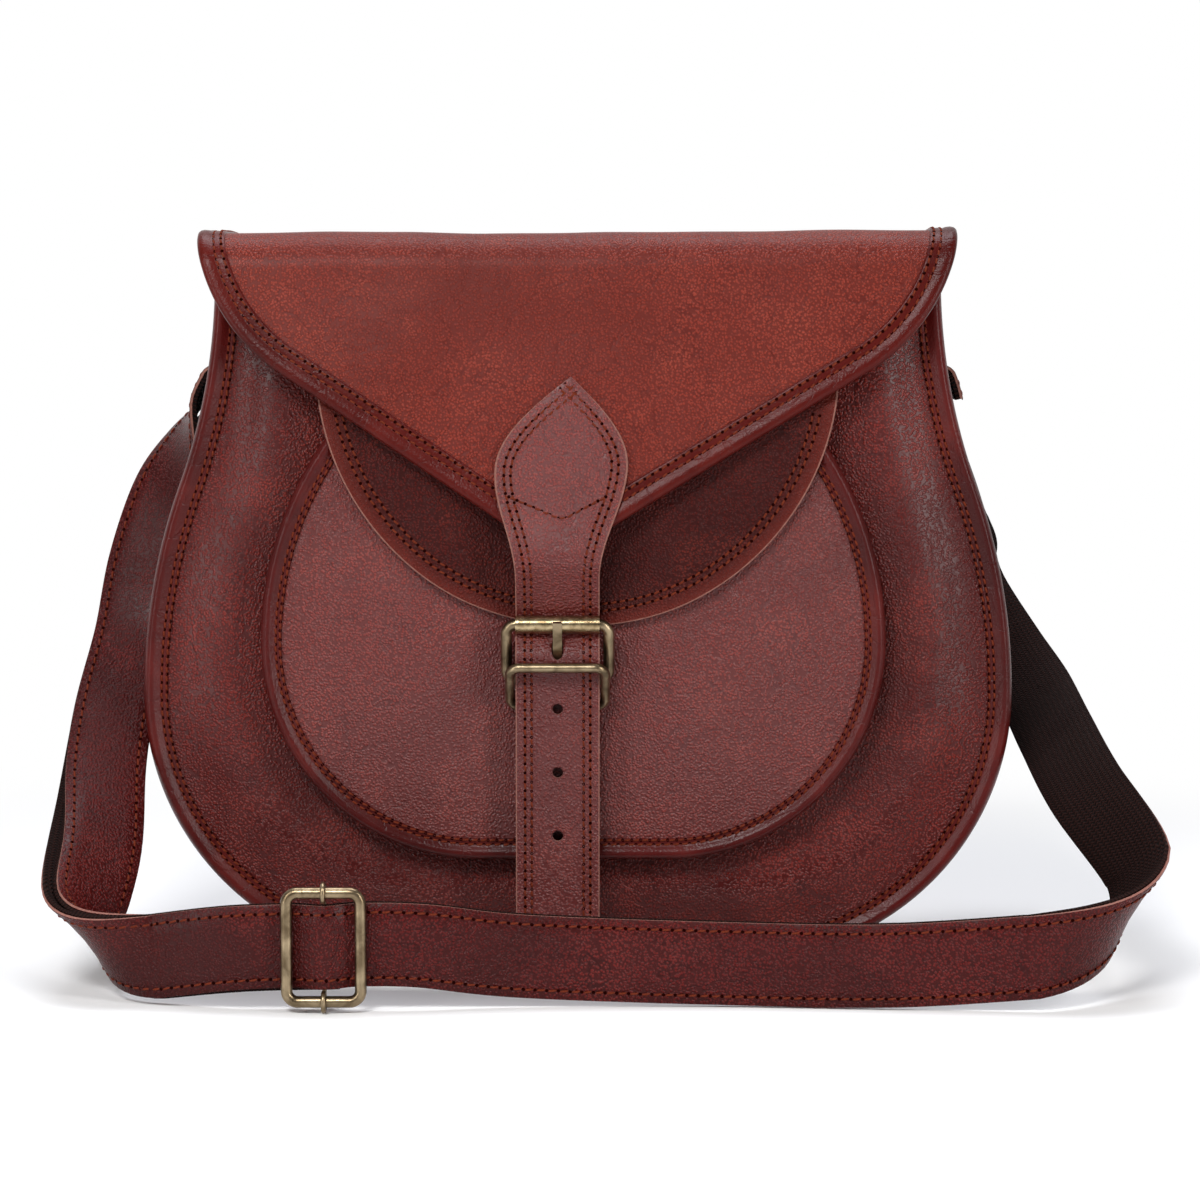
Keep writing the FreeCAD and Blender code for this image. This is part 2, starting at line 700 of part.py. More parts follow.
def closure_sheet(name, near, far):
    body = new_body(name)
    sketch = new_sketch(body, "YZ_Plane", closure_x)
    inner = [(y - near, z) for y, z in closure_path]
    outer = [(y - far, z) for y, z in closure_path]
    trace(sketch, inner + outer[::-1])
    pad(body, sketch, 2 * (leaf_half + CUT_OVER), symmetric=True)
    doc.recompute()
    sketch = new_sketch(body, "XZ_Plane", 0)
    trace(sketch, [(-outside, -outside), (outside, -outside), (outside, outside), (-outside, outside)])
    trace(sketch, leaf_outline())
    slot_z = size("slot_z")
    slot_half = size("slot_half_width")
    slot_tall = size("slot_half_height")
    trace(sketch, [
        (closure_x - slot_half, slot_z - slot_tall), (closure_x + slot_half, slot_z - slot_tall),
        (closure_x + slot_half, slot_z + slot_tall), (closure_x - slot_half, slot_z + slot_tall),
    ])
    for step in range(3):
        ring_mark(sketch, closure_x, size("hole_first_z") - step * size("hole_pitch"), size("hole_radius"))
    pocket(body, sketch)
    doc.recompute()


closure_sheet("closure_strap_backing", Dim.of(0), size("closure_backing"))
closure_sheet("closure_strap", size("closure_backing"), closure_total)

# Strap tabs: a leather loop riveted on each side of the gusset that holds a ring.

ring_wire = size("ring_wire")
ring_z = size("ring_z")
ring_y = size("ring_y")
tab_leather = size("tab_leather")
tab_top = size("tab_top_z")
waist = side_radius + gusset_inset
sag = body_height - ring_z
gusset_x = neck_half + side_radius - root(waist * waist - sag * sag)
tab_bore = ring_wire + BAR_PLAY
tab_outer = tab_bore + tab_leather
bar_x = gusset_x + seam_gap + tab_outer

for side, name in ((-1, "left"), (1, "right")):
    body = new_body(f"{name}_strap_tab")
    sketch = new_sketch(body, "XZ_Plane", -ring_y)
    middle = side * bar_x
    trace(sketch, [
        (middle - tab_outer, tab_top), (middle - tab_outer, ring_z, 1, middle, ring_z, tab_outer),
        (middle + tab_outer, ring_z), (middle + tab_outer, tab_top), (middle + tab_bore, tab_top),
        (middle + tab_bore, ring_z, -1, middle, ring_z, tab_bore),
        (middle - tab_bore, ring_z), (middle - tab_bore, tab_top),
    ])
    pad(body, sketch, 2 * size("tab_half_width"), symmetric=True)
    doc.recompute()
    sketch = new_sketch(body, "YZ_Plane", 0)
    ring_mark(sketch, ring_y, size("rivet_z"), size("rivet_radius") + seam_gap)
    pocket(body, sketch)
    loop = wire_loop(f"{name}_ring", "YZ_Plane", size("ring_half_width"), -size("ring_reach"), Dim.of(0),
                     size("ring_corner"), ring_wire)
    place(loop, side * bar_x, ring_y, ring_z, (0, -side, 0), size("ring_tilt"))
doc.recompute()

rivets = []
rivet_sag = body_height - size("rivet_z")
rivet_x = neck_half + side_radius - root(waist * waist - rivet_sag * rivet_sag)
RIVET_CAP = 1.2
for side, name in ((-1, "left"), (1, "right")):
    shank = doc.addObject("Part::Cylinder", f"{name}_rivet_shank")
    head = doc.addObject("Part::Cylinder", f"{name}_rivet_head")
    turn = FreeCAD.Rotation(FreeCAD.Vector(0, 1, 0), 90 * side)
    start = rivet_x + 3 * seam_gap
    stop = bar_x + tab_outer
    for solid, low, tall, wide in ((shank, start, stop - start + RIVET_CAP / 2, size("rivet_radius")),
                                   (head, stop + seam_gap / 2, Dim.of(RIVET_CAP), size("rivet_head"))):
        solid.Radius = wide.value
        solid.Height = tall.value
        bind(solid, "Radius", wide)
        bind(solid, "Height", tall)
        centre = FreeCAD.Vector(side * low.value, ring_y.value, size("rivet_z").value)
        solid.Placement = FreeCAD.Placement(centre, turn)
        bind(solid, "Placement.Base.x", side * low)
        bind(solid, "Placement.Base.y", ring_y)
        bind(solid, "Placement.Base.z", size("rivet_z"))
    rivet = doc.addObject("Part::Fuse", f"{name}_rivet")
    rivet.Base = shank
    rivet.Tool = head
    rivets.append(rivet)
doc.recompute()
tab_rivets = doc.addObject("Part::Compound", "tab_rivets")
tab_rivets.Links = rivets
doc.recompute()

# Shoulder strap: a leather facing on woven webbing. From the right ring it falls
# behind the bag, rolls over at the lower right, runs across the front, rolls over
# at the lower left and climbs to the left ring, where it doubles back to the slider.

V = FreeCAD.Vector
strap_half = size("strap_half_width").value
leather_ply = size("strap_leather_ply").value
web_ply = size("strap_web_ply").value
slider_x = size("slider_x").value
BAR_END = 0.6
slider_hook = size("slider_wire") + size("slider_bar_wire") + BAR_PLAY
slider_rest = size("slider_half_height") + slider_hook + size("slider_bar_wire") + BAR_PLAY
slider_lift = slider_rest.value
EDGE_LIFT = 1
FLOOR_LIFT = strap_half + EDGE_LIFT
WEAVE = 4.8
WEAVE_SPAN = 7


def unit(vector):
    return vector * (1 / vector.Length)


def turned(vector, axis, angle):
    return FreeCAD.Rotation(axis, math.degrees(angle)).multVec(vector)


def roll(start, heading, width, crease, radius, turn, steps):
    """Wrap a flat strip backwards round a slanting cylinder: centres and widths."""
    crease = unit(crease)
    along = heading.dot(crease)
    across = heading - crease * along
    spin = 1 if crease.cross(heading).y > 0 else -1
    axis_point = start + V(0, radius, 0)
    stations = []
    for step in range(steps + 1):
        angle = turn * step / steps
        centre = axis_point + turned(start - axis_point, crease, spin * angle)
        centre += crease * (along * radius * angle / across.Length)
        stations.append((centre, turned(width, crease, spin * angle)))
    return stations


def smooth(stations, steps):
    """Run a smooth curve through centres and widths chosen by hand."""
    padded = [stations[0]] + list(stations) + [stations[-1]]
    result = []
    for before, start, end, after in zip(padded, padded[1:], padded[2:], padded[3:]):
        for step in range(steps):
            t = step / steps
            point = []
            for k in range(2):
                a, b, c, d = before[k], start[k], end[k], after[k]
                point.append((b * 2 + (c - a) * t + (a * 2 - b * 5 + c * 4 - d) * (t * t)
                              + (b * 3 - a - c * 3 + d) * (t * t * t)) * 0.5)
            result.append(tuple(point))
    result.append(stations[-1])
    return result


bar_reach = size("ring_reach").value
lean = math.radians(size("ring_tilt").value)
loop_x = bar_x.value + bar_reach * math.sin(lean)
loop_z = ring_z.value - bar_reach * math.cos(lean)
WRAP_GAP = 0.3
wrap = ring_wire.value + WRAP_GAP + (leather_ply + web_ply) / 2
UP = V(0, 0, 1)
BACK = V(0, 1, 0)

front_reach = size("strap_front_reach").value
RIGHT_LIFT = 4
LEFT_LIFT = 2
LEFT_BACK = 12
SLIDER_STEP = 32
SLIDER_AHEAD = 2
RIGHT_BEND = 26
RIGHT_TURN = 2.0
LEFT_BEND = 18
LEFT_TURN = 2.2
ROLL_STEPS = 8
LEAD_STEPS = 3
front_right = V(size("strap_right_reach").value, -front_reach, FLOOR_LIFT + RIGHT_LIFT)
front_left = V(-size("strap_left_reach").value, LEFT_BACK - front_reach, FLOOR_LIFT + LEFT_LIFT)
right_roll = roll(front_right, V(0.985, 0, 0.17), UP, V(0.51, 0, 0.86), RIGHT_BEND, RIGHT_TURN, ROLL_STEPS)
left_roll = roll(front_left, V(-1, 0, 0), UP, V(-0.63, 0, 0.775), LEFT_BEND, LEFT_TURN, ROLL_STEPS)

slider_y = -front_reach - SLIDER_AHEAD
front_path = [
    (V(112, 5 - front_reach, FLOOR_LIFT), UP), (V(50, 10 - front_reach, FLOOR_LIFT), UP),
    (V(-20, 8 - front_reach, FLOOR_LIFT + 3), UP),
    (V(slider_x + SLIDER_STEP, slider_y + WEAVE, slider_lift), UP),
    (V(slider_x, slider_y + WEAVE, slider_lift), UP),
    (V(slider_x - SLIDER_STEP, slider_y + WEAVE, slider_lift - 1), UP),
]


def beside_bar(side, across, along):
    """A point by a ring's free bar: across the ring's plane and further along its lean."""
    out = V(side * math.cos(lean), 0, math.sin(lean))
    down = V(side * math.sin(lean), 0, -math.cos(lean))
    return V(side * loop_x, ring_y.value, loop_z) + out * across + down * along


def over_bar(side, steps):
    """The half turn from the inner face of a ring's free bar over to its outer face."""
    turns = []
    for step in range(1, steps + 1):
        angle = math.pi * step / steps
        turns.append((beside_bar(side, -wrap * math.cos(angle), -wrap * math.sin(angle)), BACK))
    return turns


LEG_START = 12


def off_bar(side, out, back, drop):
    """A point near a ring, measured from the middle of its free bar."""
    return V(side * (loop_x + out), ring_y.value + back, loop_z - drop)


def beside_body(side, out, y, share):
    """A point beside the body, out from its widest line and up by a share of the rings' height."""
    return V(side * (body_half.value + out), y, share * ring_z.value)


back_face = back_outer.value
right_leg = [
    (beside_bar(1, -wrap, 0), BACK), (beside_bar(1, -wrap, LEG_START), BACK),
    (off_bar(1, 5.8, 3, 23.8), BACK), (off_bar(1, 13.8, 13, 42.8), V(0.03, 1, 0)),
    (beside_body(1, -2.6, back_face + 9, 0.667), V(-0.05, 0.97, 0.2)),
    (beside_body(1, -2, back_face + 30.6, 0.575), V(0.6, 0.7, 0.35)),
    (beside_body(1, 9, back_face + 20.6, 0.47), V(0.75, 0.45, 0.45)),
    (beside_body(1, 17.6, back_face - 8.4, 0.4), V(0.8, 0.2, 0.5)),
    (beside_body(1, 20.2, 22, 0.354), V(0.82, 0, 0.53)),
    (beside_body(1, 25, -25, 0.293), V(0.82, -0.15, 0.52)),
]
left_leg = [
    (beside_body(-1, 16.2, -18, 0.258), V(-0.95, -0.2, 0.2)),
    (beside_body(-1, 13.6, 14, 0.392), V(-0.97, 0, 0.2)),
    (beside_body(-1, 8.3, 35, 0.508), V(-0.97, 0.1, 0.2)),
    (beside_body(-1, 4, 47, 0.625), V(-0.95, 0.3, 0.25)),
    (off_bar(-1, 20, 6, 46.8), V(-0.85, 0.45, 0.3)), (off_bar(-1, 9.3, 3, 26.8), V(-0.45, 0.85, 0.2)),
    (beside_bar(-1, -wrap, LEG_START), BACK), (beside_bar(-1, -wrap, 0), BACK),
]


def framed(path):
    """Give each centre a width square to its heading and a normal on the webbing side."""
    result = []
    for index, (centre, width) in enumerate(path):
        ahead = path[min(index + 1, len(path) - 1)][0]
        behind = path[max(index - 1, 0)][0]
        heading = unit(ahead - behind)
        width = unit(width - heading * width.dot(heading))
        result.append((centre, width, heading.cross(width)))
    return result


def weave(path):
    """Bring the strap forward over the slider's centre bar."""
    result = []
    for centre, width in path:
        bump = math.exp(-((centre.x - slider_x) / WEAVE_SPAN) ** 2) if centre.y < pocket_outer.value else 0
        result.append((centre - V(0, WEAVE * bump, 0), width))
    return result


STEPS = 5
BEND_STEPS = 8
TAIL_STEPS = 5
RETURN_GAP = 0.6
RETURN_START = 5
SPREAD = 30
TAIL_SPREAD = 14
SKEW = 4.5
SKEW_Z = 46
SKEW_SPAN = 20
return_lift = leather_ply + web_ply + RETURN_GAP
bar_lift = 2 * wrap
left_bar = beside_bar(-1, -wrap, 0)
right_bar = beside_bar(1, -wrap, 0)
right_join = [right_roll[-1], right_roll[-1 - LEAD_STEPS]]
left_join = [left_roll[-1 - LEAD_STEPS], left_roll[-1]]
right_part = smooth(right_leg + right_join, STEPS)[:-STEPS - 1] + right_roll[::-1][:-1]
front_part = smooth([right_roll[0]] + front_path + [left_roll[0]], STEPS * 2)[:-1]
left_part = left_roll[:-1] + smooth(left_join + left_leg, STEPS)[STEPS:]


def lifted(path, towards, spread):
    """A second layer on the webbing side that opens out at the ring's bar and lies askew below it."""
    layer = []
    for centre, width, normal in framed(path):
        near = math.exp(-((centre - towards).Length / spread) ** 2)
        slip = SKEW * math.exp(-((centre.z - SKEW_Z) / SKEW_SPAN) ** 2)
        lift = return_lift + (bar_lift - return_lift) * near
        layer.append((centre + normal * lift - width * slip, width))
    return layer


past_slider = [station for station in front_part if station[0].x < slider_x + RETURN_START]
return_part = lifted(past_slider + left_part, left_bar, SPREAD)[::-1]
right_tail = lifted(right_part[:TAIL_STEPS], right_bar, TAIL_SPREAD)[::-1]
woven_part = weave(right_part + front_part + left_part)
strap_run = framed(right_tail[:-1] + over_bar(1, BEND_STEPS)[::-1] + woven_part
                   + over_bar(-1, BEND_STEPS)[:-1] + return_part)
FACE_SPANS = 8


def ply(stations, low, high, widen=0.0):
    """A solid sheet along the stations between two lifts on the webbing side."""
    half = strap_half + widen
    marks = [0.0]
    for (start, _, _), (end, _, _) in zip(stations, stations[1:]):
        marks.append(marks[-1] + (end - start).Length)
    rails = []
    for side, lift in ((-half, low), (half, low), (half, high), (-half, high)):
        rail = Part.BSplineCurve()
        points = [centre + width * side + normal * lift for centre, width, normal in stations]
        rail.interpolate(Points=points, Parameters=marks)
        rails.append(rail)
    faces = []
    for first in range(0, len(marks) - 1, FACE_SPANS):
        last = min(first + FACE_SPANS, len(marks) - 1)
        lengths = []
        for rail in rails:
            length = rail.copy()
            length.segment(marks[first], marks[last])
            lengths.append(length)
        for rail, other in zip(lengths, lengths[1:] + lengths[:1]):
            surface = Part.BSplineSurface()
            surface.buildFromPolesMultsKnots(list(zip(rail.getPoles(), other.getPoles())),
                                             rail.getMultiplicities(), (2, 2), rail.getKnots(), (0, 1),
                                             False, False, rail.Degree, 1)
            faces.append(surface.toShape())
    for end in ("StartPoint", "EndPoint"):
        corners = [getattr(rail, end) for rail in rails]
        faces.append(Part.Face(Part.makePolygon(corners + corners[:1])))
    shell = Part.makeCompound(faces)
    shell.sewShape()
    sheet_solid = Part.makeSolid(shell.Shells[0])
    if sheet_solid.Volume < 0:
        sheet_solid.reverse()
    return sheet_solid


PLY_GAP = 0.35
WEB_EDGE = 0.3
half_stack = (leather_ply + web_ply) / 2
strap_solids = {
    "strap_leather": ply(strap_run, -half_stack, -half_stack + leather_ply - PLY_GAP),
    "strap_webbing": ply(strap_run, -half_stack + leather_ply, half_stack, WEB_EDGE),
}
for name, solid in strap_solids.items():
    feature = doc.addObject("Part::Feature", name)
    feature.Shape = solid

# Slider: a wire frame standing on the floor with a centre bar hooked round its rails.

slider_wire = size("slider_wire")
slider_half_height = size("slider_half_height")
slider = wire_loop("slider_frame", "XZ_Plane", size("slider_half_width"), -slider_half_height,
                   slider_half_height, size("slider_corner"), slider_wire)
place(slider, size("slider_x"), Dim.of(slider_y), slider_rest)

bar_wire = size("slider_bar_wire")
hook = slider_hook
post_wire = bar_wire - seam_gap
post_half = slider_half_height + BAR_END
post = doc.addObject("Part::Cylinder", "slider_post")
post.Radius = post_wire.value
bind(post, "Radius", post_wire)
post.Height = 2 * post_half.value
bind(post, "Height", 2 * post_half)
post.Placement = FreeCAD.Placement(V(slider_x, slider_y + hook.value, slider_rest.value - post_half.value),
                                   FreeCAD.Rotation())
bind(post, "Placement.Base.x", size("slider_x"))
bind(post, "Placement.Base.y", slider_y + hook)
bind(post, "Placement.Base.z", slider_rest - post_half)
hooks = []
for sign, name in ((-1, "low"), (1, "high")):
    eye = doc.addObject("Part::Torus", f"slider_eye_{name}")
    eye.Radius1 = hook.value
    eye.Radius2 = bar_wire.value
    bind(eye, "Radius1", hook)
    bind(eye, "Radius2", bar_wire)
    eye_z = slider_rest + sign * slider_half_height
    eye.Placement = FreeCAD.Placement(V(slider_x, slider_y, eye_z.value), FreeCAD.Rotation(V(0, 1, 0), 90))
    bind(eye, "Placement.Base.x", size("slider_x"))
    bind(eye, "Placement.Base.z", eye_z)
    hooks.append(eye)
slider_bar = doc.addObject("Part::MultiFuse", "slider_bar")
slider_bar.Shapes = [post] + hooks
doc.recompute()

# Every piece is checked and written out on its own.

NODES = [
    "front_panel", "back_panel", "gusset", "front_edge_binding", "back_edge_binding", "lining",
    "pocket_panel", "pocket_gusset", "pocket_binding", "pocket_flap", "main_flap", "flap_lining",
    "flap_binding", "closure_strap", "closure_strap_backing", "buckle_chape", "buckle_frame",
    "buckle_roller", "buckle_prong", "keeper_loop", "left_strap_tab", "right_strap_tab", "tab_rivets",
    "left_ring", "right_ring", "strap_leather", "strap_webbing", "slider_frame", "slider_bar",
]
doc.recompute()
broken = [item.Name for item in doc.Objects if "Invalid" in item.State or "Error" in item.State]
if broken:
    raise RuntimeError(f"not rebuilt: {broken}")
os.makedirs("parts", exist_ok=True)
for name in NODES:
    shape = doc.getObject(name).Shape
    if shape.isNull() or not shape.isValid() or shape.Volume <= 0:
        raise RuntimeError(f"{name} has no valid solid")
    shape.exportStep(f"parts/{name}.step")
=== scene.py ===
import math

import bpy
import bmesh
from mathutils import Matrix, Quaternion, Vector, noise


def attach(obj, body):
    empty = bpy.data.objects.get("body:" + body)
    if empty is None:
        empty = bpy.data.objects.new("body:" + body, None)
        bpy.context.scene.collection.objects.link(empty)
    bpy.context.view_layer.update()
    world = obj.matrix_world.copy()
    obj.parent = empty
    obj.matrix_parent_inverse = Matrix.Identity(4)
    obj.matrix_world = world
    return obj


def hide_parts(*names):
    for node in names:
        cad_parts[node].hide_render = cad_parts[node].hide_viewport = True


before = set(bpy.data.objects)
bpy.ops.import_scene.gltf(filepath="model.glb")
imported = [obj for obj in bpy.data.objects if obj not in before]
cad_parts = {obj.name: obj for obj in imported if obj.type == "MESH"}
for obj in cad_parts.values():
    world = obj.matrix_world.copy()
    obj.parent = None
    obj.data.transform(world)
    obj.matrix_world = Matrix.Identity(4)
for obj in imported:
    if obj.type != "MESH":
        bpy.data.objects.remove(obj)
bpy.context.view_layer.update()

# Studio: a pale floor that fades into a white room, a broad soft lamp high in front,
# weaker ones at the sides, and a long lens set a little below the top of the bag.

MM = 0.001
scene = bpy.context.scene
scene.view_settings.view_transform = "Standard"


class Wire:
    """A socket in a node tree: sums on it add Math nodes, and node() adds any other kind."""

    def __init__(self, tree, socket=None):
        self.tree = tree
        self.socket = socket

    def node(self, kind, settings, sockets, out=0):
        """Add a node, set or link its sockets, and give one of its outputs."""
        made = self.tree.nodes.new(kind)
        for key, value in settings.items():
            setattr(made, key, value)
        for key, value in sockets.items():
            if isinstance(value, Wire):
                self.tree.links.new(value.socket, made.inputs[key])
            else:
                made.inputs[key].default_value = value
        return Wire(self.tree, made.outputs[out])

    def maths(self, operation, first, second=0.0):
        """One sum of two values."""
        return self.node("ShaderNodeMath", {"operation": operation}, {0: first, 1: second})

    def __add__(self, other):
        return self.maths("ADD", self, other)

    def __radd__(self, other):
        return self.maths("ADD", other, self)

    def __sub__(self, other):
        return self.maths("SUBTRACT", self, other)

    def __rsub__(self, other):
        return self.maths("SUBTRACT", other, self)

    def __mul__(self, other):
        return self.maths("MULTIPLY", self, other)

    def __rmul__(self, other):
        return self.maths("MULTIPLY", other, self)

    def wave(self):
        """Its sine."""
        return self.maths("SINE", self)

    def size(self):
        """Its value without the sign."""
        return self.maths("ABSOLUTE", self)

    def rise(self, low, high):
        """A smooth step from 0 at low to 1 at high."""
        return self.node("ShaderNodeMapRange", {"interpolation_type": "SMOOTHSTEP"},
                         {0: self, 1: low, 2: high, 3: 0.0, 4: 1.0})

    def between(self, first, second):
        """The first colour where this is 0 and the second where it is 1."""
        return self.node("ShaderNodeMix", {"data_type": "RGBA"}, {0: self, 6: first, 7: second}, out=2)


def dye(red, green, blue):
    """A colour as it looks on a screen, in 0 to 255, for a shader."""
    return tuple((part / 255) ** 2.2 for part in (red, green, blue)) + (1.0,)


room = bpy.data.worlds.new("white_room")
room.use_nodes = True
scene.world = room
sky = Wire(room.node_tree)
seen = sky.node("ShaderNodeLightPath", {}, {}, "Is Camera Ray")
mirrored = sky.node("ShaderNodeLightPath", {}, {}, "Is Glossy Ray")
through = sky.node("ShaderNodeLightPath", {}, {}, "Is Transmission Ray")
facing = sky.node("ShaderNodeTexCoord", {}, {}, "Generated")
heading = sky.node("ShaderNodeSeparateXYZ", {}, {0: facing}, "Y")
AMBIENT = 0.16
DIM_FRONT = 0.12
backdrop = heading.rise(-0.15, 0.4) * (1 - DIM_FRONT) + DIM_FRONT
glanced = sky.maths("MINIMUM", mirrored + through, 1.0)
unseen = glanced * backdrop + (1 - glanced) * AMBIENT
glow = sky.node("ShaderNodeBackground", {}, {"Color": (1, 1, 1, 1), "Strength": seen + (1 - seen) * unseen})
room.node_tree.links.new(glow.socket, room.node_tree.nodes["World Output"].inputs["Surface"])

floor_mesh = bpy.data.meshes.new("floor")
FLOOR_HALF = 3.0
floor_mesh.from_pydata([(-FLOOR_HALF, -FLOOR_HALF, 0), (FLOOR_HALF, -FLOOR_HALF, 0),
                        (FLOOR_HALF, FLOOR_HALF, 0), (-FLOOR_HALF, FLOOR_HALF, 0)], [], [(0, 1, 2, 3)])
floor = bpy.data.objects.new("floor", floor_mesh)
scene.collection.objects.link(floor)
floor_paint = bpy.data.materials.new("pale_floor")
floor_paint.use_nodes = True
ground = Wire(floor_paint.node_tree)
spot = ground.node("ShaderNodeTexCoord", {}, {}, "Object")
reach = ground.node("ShaderNodeVectorMath", {"operation": "LENGTH"}, {0: spot}, "Value")
matt = ground.node("ShaderNodeBsdfDiffuse", {}, {"Color": (0.93, 0.93, 0.93, 1)})
white = ground.node("ShaderNodeEmission", {}, {"Color": (1, 1, 1, 1), "Strength": 1.0})
fade = ground.node("ShaderNodeMixShader", {}, {0: reach.rise(0.24, 0.62), 1: matt, 2: white})
floor_out = floor_paint.node_tree.nodes["Material Output"]
floor_paint.node_tree.links.new(fade.socket, floor_out.inputs["Surface"])
floor_mesh.materials.append(floor_paint)


def soft_lamp(name, place, aim, width, height, power, tint=(1, 1, 1)):
    """A rectangular lamp, sized in metres, turned to face a point."""
    lamp = bpy.data.objects.new(name, bpy.data.lights.new(name, "AREA"))
    lamp.data.shape = "RECTANGLE"
    lamp.data.size = width
    lamp.data.size_y = height
    lamp.data.energy = power
    lamp.data.color = tint
    lamp.location = place
    lamp.rotation_euler = (Vector(aim) - Vector(place)).to_track_quat("-Z", "Y").to_euler()
    scene.collection.objects.link(lamp)


AIM = (0, 0, 0.14)
soft_lamp("front_lamp", (-0.4, -1.4, 1.25), AIM, 0.5, 0.4, 21.5)
soft_lamp("left_lamp", (-1.0, -0.9, 0.45), AIM, 0.25, 1.0, 7)
soft_lamp("right_lamp", (1.0, -0.9, 0.5), AIM, 0.25, 1.0, 10)
soft_lamp("top_lamp", (0, 0.25, 1.4), AIM, 1.0, 0.7, 14.5, (0.92, 0.94, 1))

EYE_ASIDE = 8.4
EYE_AWAY = 1300
EYE_HEIGHT = 253
EYE_TILT = 85
eye = bpy.data.objects.new("camera", bpy.data.cameras.new("camera"))
eye.data.lens = 102.5
eye.data.sensor_width = 36
eye.location = (EYE_ASIDE * MM, -EYE_AWAY * MM, EYE_HEIGHT * MM)
eye.rotation_euler = (math.radians(EYE_TILT), 0, 0)
scene.collection.objects.link(eye)
scene.camera = eye

# Body panels: two horseshoe sheets of goat-grain leather, dyed reddish brown, that swell
# softly between the rim and the pocket. They are cut from the same skin as the rest.

BODY_HALF = 166
BODY_HEIGHT = 264
NECK_HALF = 137.5
CORNER = 103
LEATHER = 1.6
GUSSET_DEPTH = 70
RIM_WIDTH = 9
RIM_LAP = 1
EDGE_PUFF = 0.25
SHADE_START = 0.9
SHADE_RUN = 0.1
BACK_INNER = LEATHER / 2 + GUSSET_DEPTH


def new_finish(name):
    """A new material, with a Wire on its tree and its shader."""
    finish = bpy.data.materials.new(name)
    finish.use_nodes = True
    return finish, Wire(finish.node_tree), finish.node_tree.nodes["Principled BSDF"]


def dress(finish, shader, sockets):
    """Link or set the shader's sockets."""
    for key, value in sockets.items():
        if isinstance(value, Wire):
            finish.node_tree.links.new(value.socket, shader.inputs[key])
        else:
            shader.inputs[key].default_value = value


def noise_at(wire, place, scale, detail=2.0, distortion=0.0):
    """Cloudy noise from 0 to 1 at a place."""
    return wire.node("ShaderNodeTexNoise", {}, {"Vector": place, "Scale": scale, "Detail": detail,
                                                "Distortion": distortion}, "Fac")


def grain_leather(name, deep, middle, light, gloss=0.42, shine=0.2, grain=1.0):
    """Dyed goat leather: fine pebbles, faint creases, cloudy dye, painted shade in the pebbles' valleys and
    the creases, and an edge band from the rim attribute: painted shade where it is above 0, a painted
    highlight where it is below 0.
    """
    finish, wire, shader = new_finish(name)
    place = wire.node("ShaderNodeTexCoord", {}, {}, "Object")
    drift = wire.node("ShaderNodeTexNoise", {}, {"Vector": place, "Scale": 240.0, "Detail": 1.0}, "Color")
    shove = wire.node("ShaderNodeVectorMath", {"operation": "SCALE"}, {0: drift, "Scale": 0.0006})
    pulled = wire.node("ShaderNodeVectorMath", {"operation": "ADD"}, {0: place, 1: shove})
    cells = wire.node("ShaderNodeTexVoronoi", {}, {"Vector": pulled, "Scale": 1000.0}, "Distance")
    pebble = 1 - cells.rise(0.2, 0.66)
    fine = noise_at(wire, place, 2400.0)
    fold = (noise_at(wire, place, 34.0, 4.0, 1.4) - 0.5).size()
    crease = 1 - fold.rise(0.0, 0.025)
    swell = noise_at(wire, place, 150.0, 3.0)
    height = pebble * grain + fine * 0.1 + swell * 0.15 - crease * 0.3
    bump = wire.node("ShaderNodeBump", {}, {"Strength": 0.9, "Distance": 0.00032, "Height": height})
    cloud = noise_at(wire, place, 11.0, 4.0, 0.4)
    patch = noise_at(wire, place, 42.0, 3.0)
    rim = wire.node("ShaderNodeAttribute", {"attribute_name": "rim"}, {}, "Fac")
    dyed = (cloud.rise(0.3, 0.66) * 0.7 + 0.3).between(deep, middle)
    worn = (patch.rise(0.46, 0.72) * 0.5).between(dyed, light)
    # Painted shade: the colour darkens in the pebbles' valleys and along the creases.
    painted_valley_shade = (1 - pebble) * (0.85 * grain) + crease * 0.15
    valley = painted_valley_shade.between(worn, deep)
    # Painted shade: where the rim attribute is above 0 the colour darkens towards the piece's edge, beside
    # the binding.
    edged = (rim * 0.6).between(valley, deep)
    # Painted highlight: where the rim attribute is below 0 the colour lightens towards the edge.
    painted_rim_light = (rim * -1.0).between(edged, light)
    rough = gloss + patch * 0.12 - pebble * 0.06
    dress(finish, shader, {"Base Color": painted_rim_light, "Roughness": rough, "Normal": bump,
                           "Specular IOR Level": shine, "Coat Weight": 0.05, "Coat Roughness": 0.3})
    return finish


body_leather = grain_leather("body_leather", dye(58, 16, 15), dye(110, 36, 30), dye(128, 50, 42),
                             gloss=0.28, shine=0.25)


def along(corners, step, close=False):
    """Points a step apart on lines and arcs. A corner is (u, v) or (u, v, turn, centre_u, centre_v)."""
    corners = list(corners)
    if close:
        corners.append(corners[0])
    points = []
    for here, after in zip(corners, corners[1:]):
        if len(here) == 2:
            count = max(1, round(math.hypot(after[0] - here[0], after[1] - here[1]) / step))
            for k in range(count):
                t = k / count
                points.append((here[0] + (after[0] - here[0]) * t, here[1] + (after[1] - here[1]) * t))
            continue
        u, v, turn, cu, cv = here
        radius = math.hypot(u - cu, v - cv)
        first = math.atan2(v - cv, u - cu)
        last = math.atan2(after[1] - cv, after[0] - cu)
        if turn > 0 and last < first:
            last += 2 * math.pi
        if turn < 0 and last > first:
            last -= 2 * math.pi
        count = max(2, round(radius * abs(last - first) / step))
        for k in range(count):
            angle = first + (last - first) * k / count
            points.append((cu + radius * math.cos(angle), cv + radius * math.sin(angle)))
    if not close:
        points.append(tuple(corners[-1][:2]))
    return points


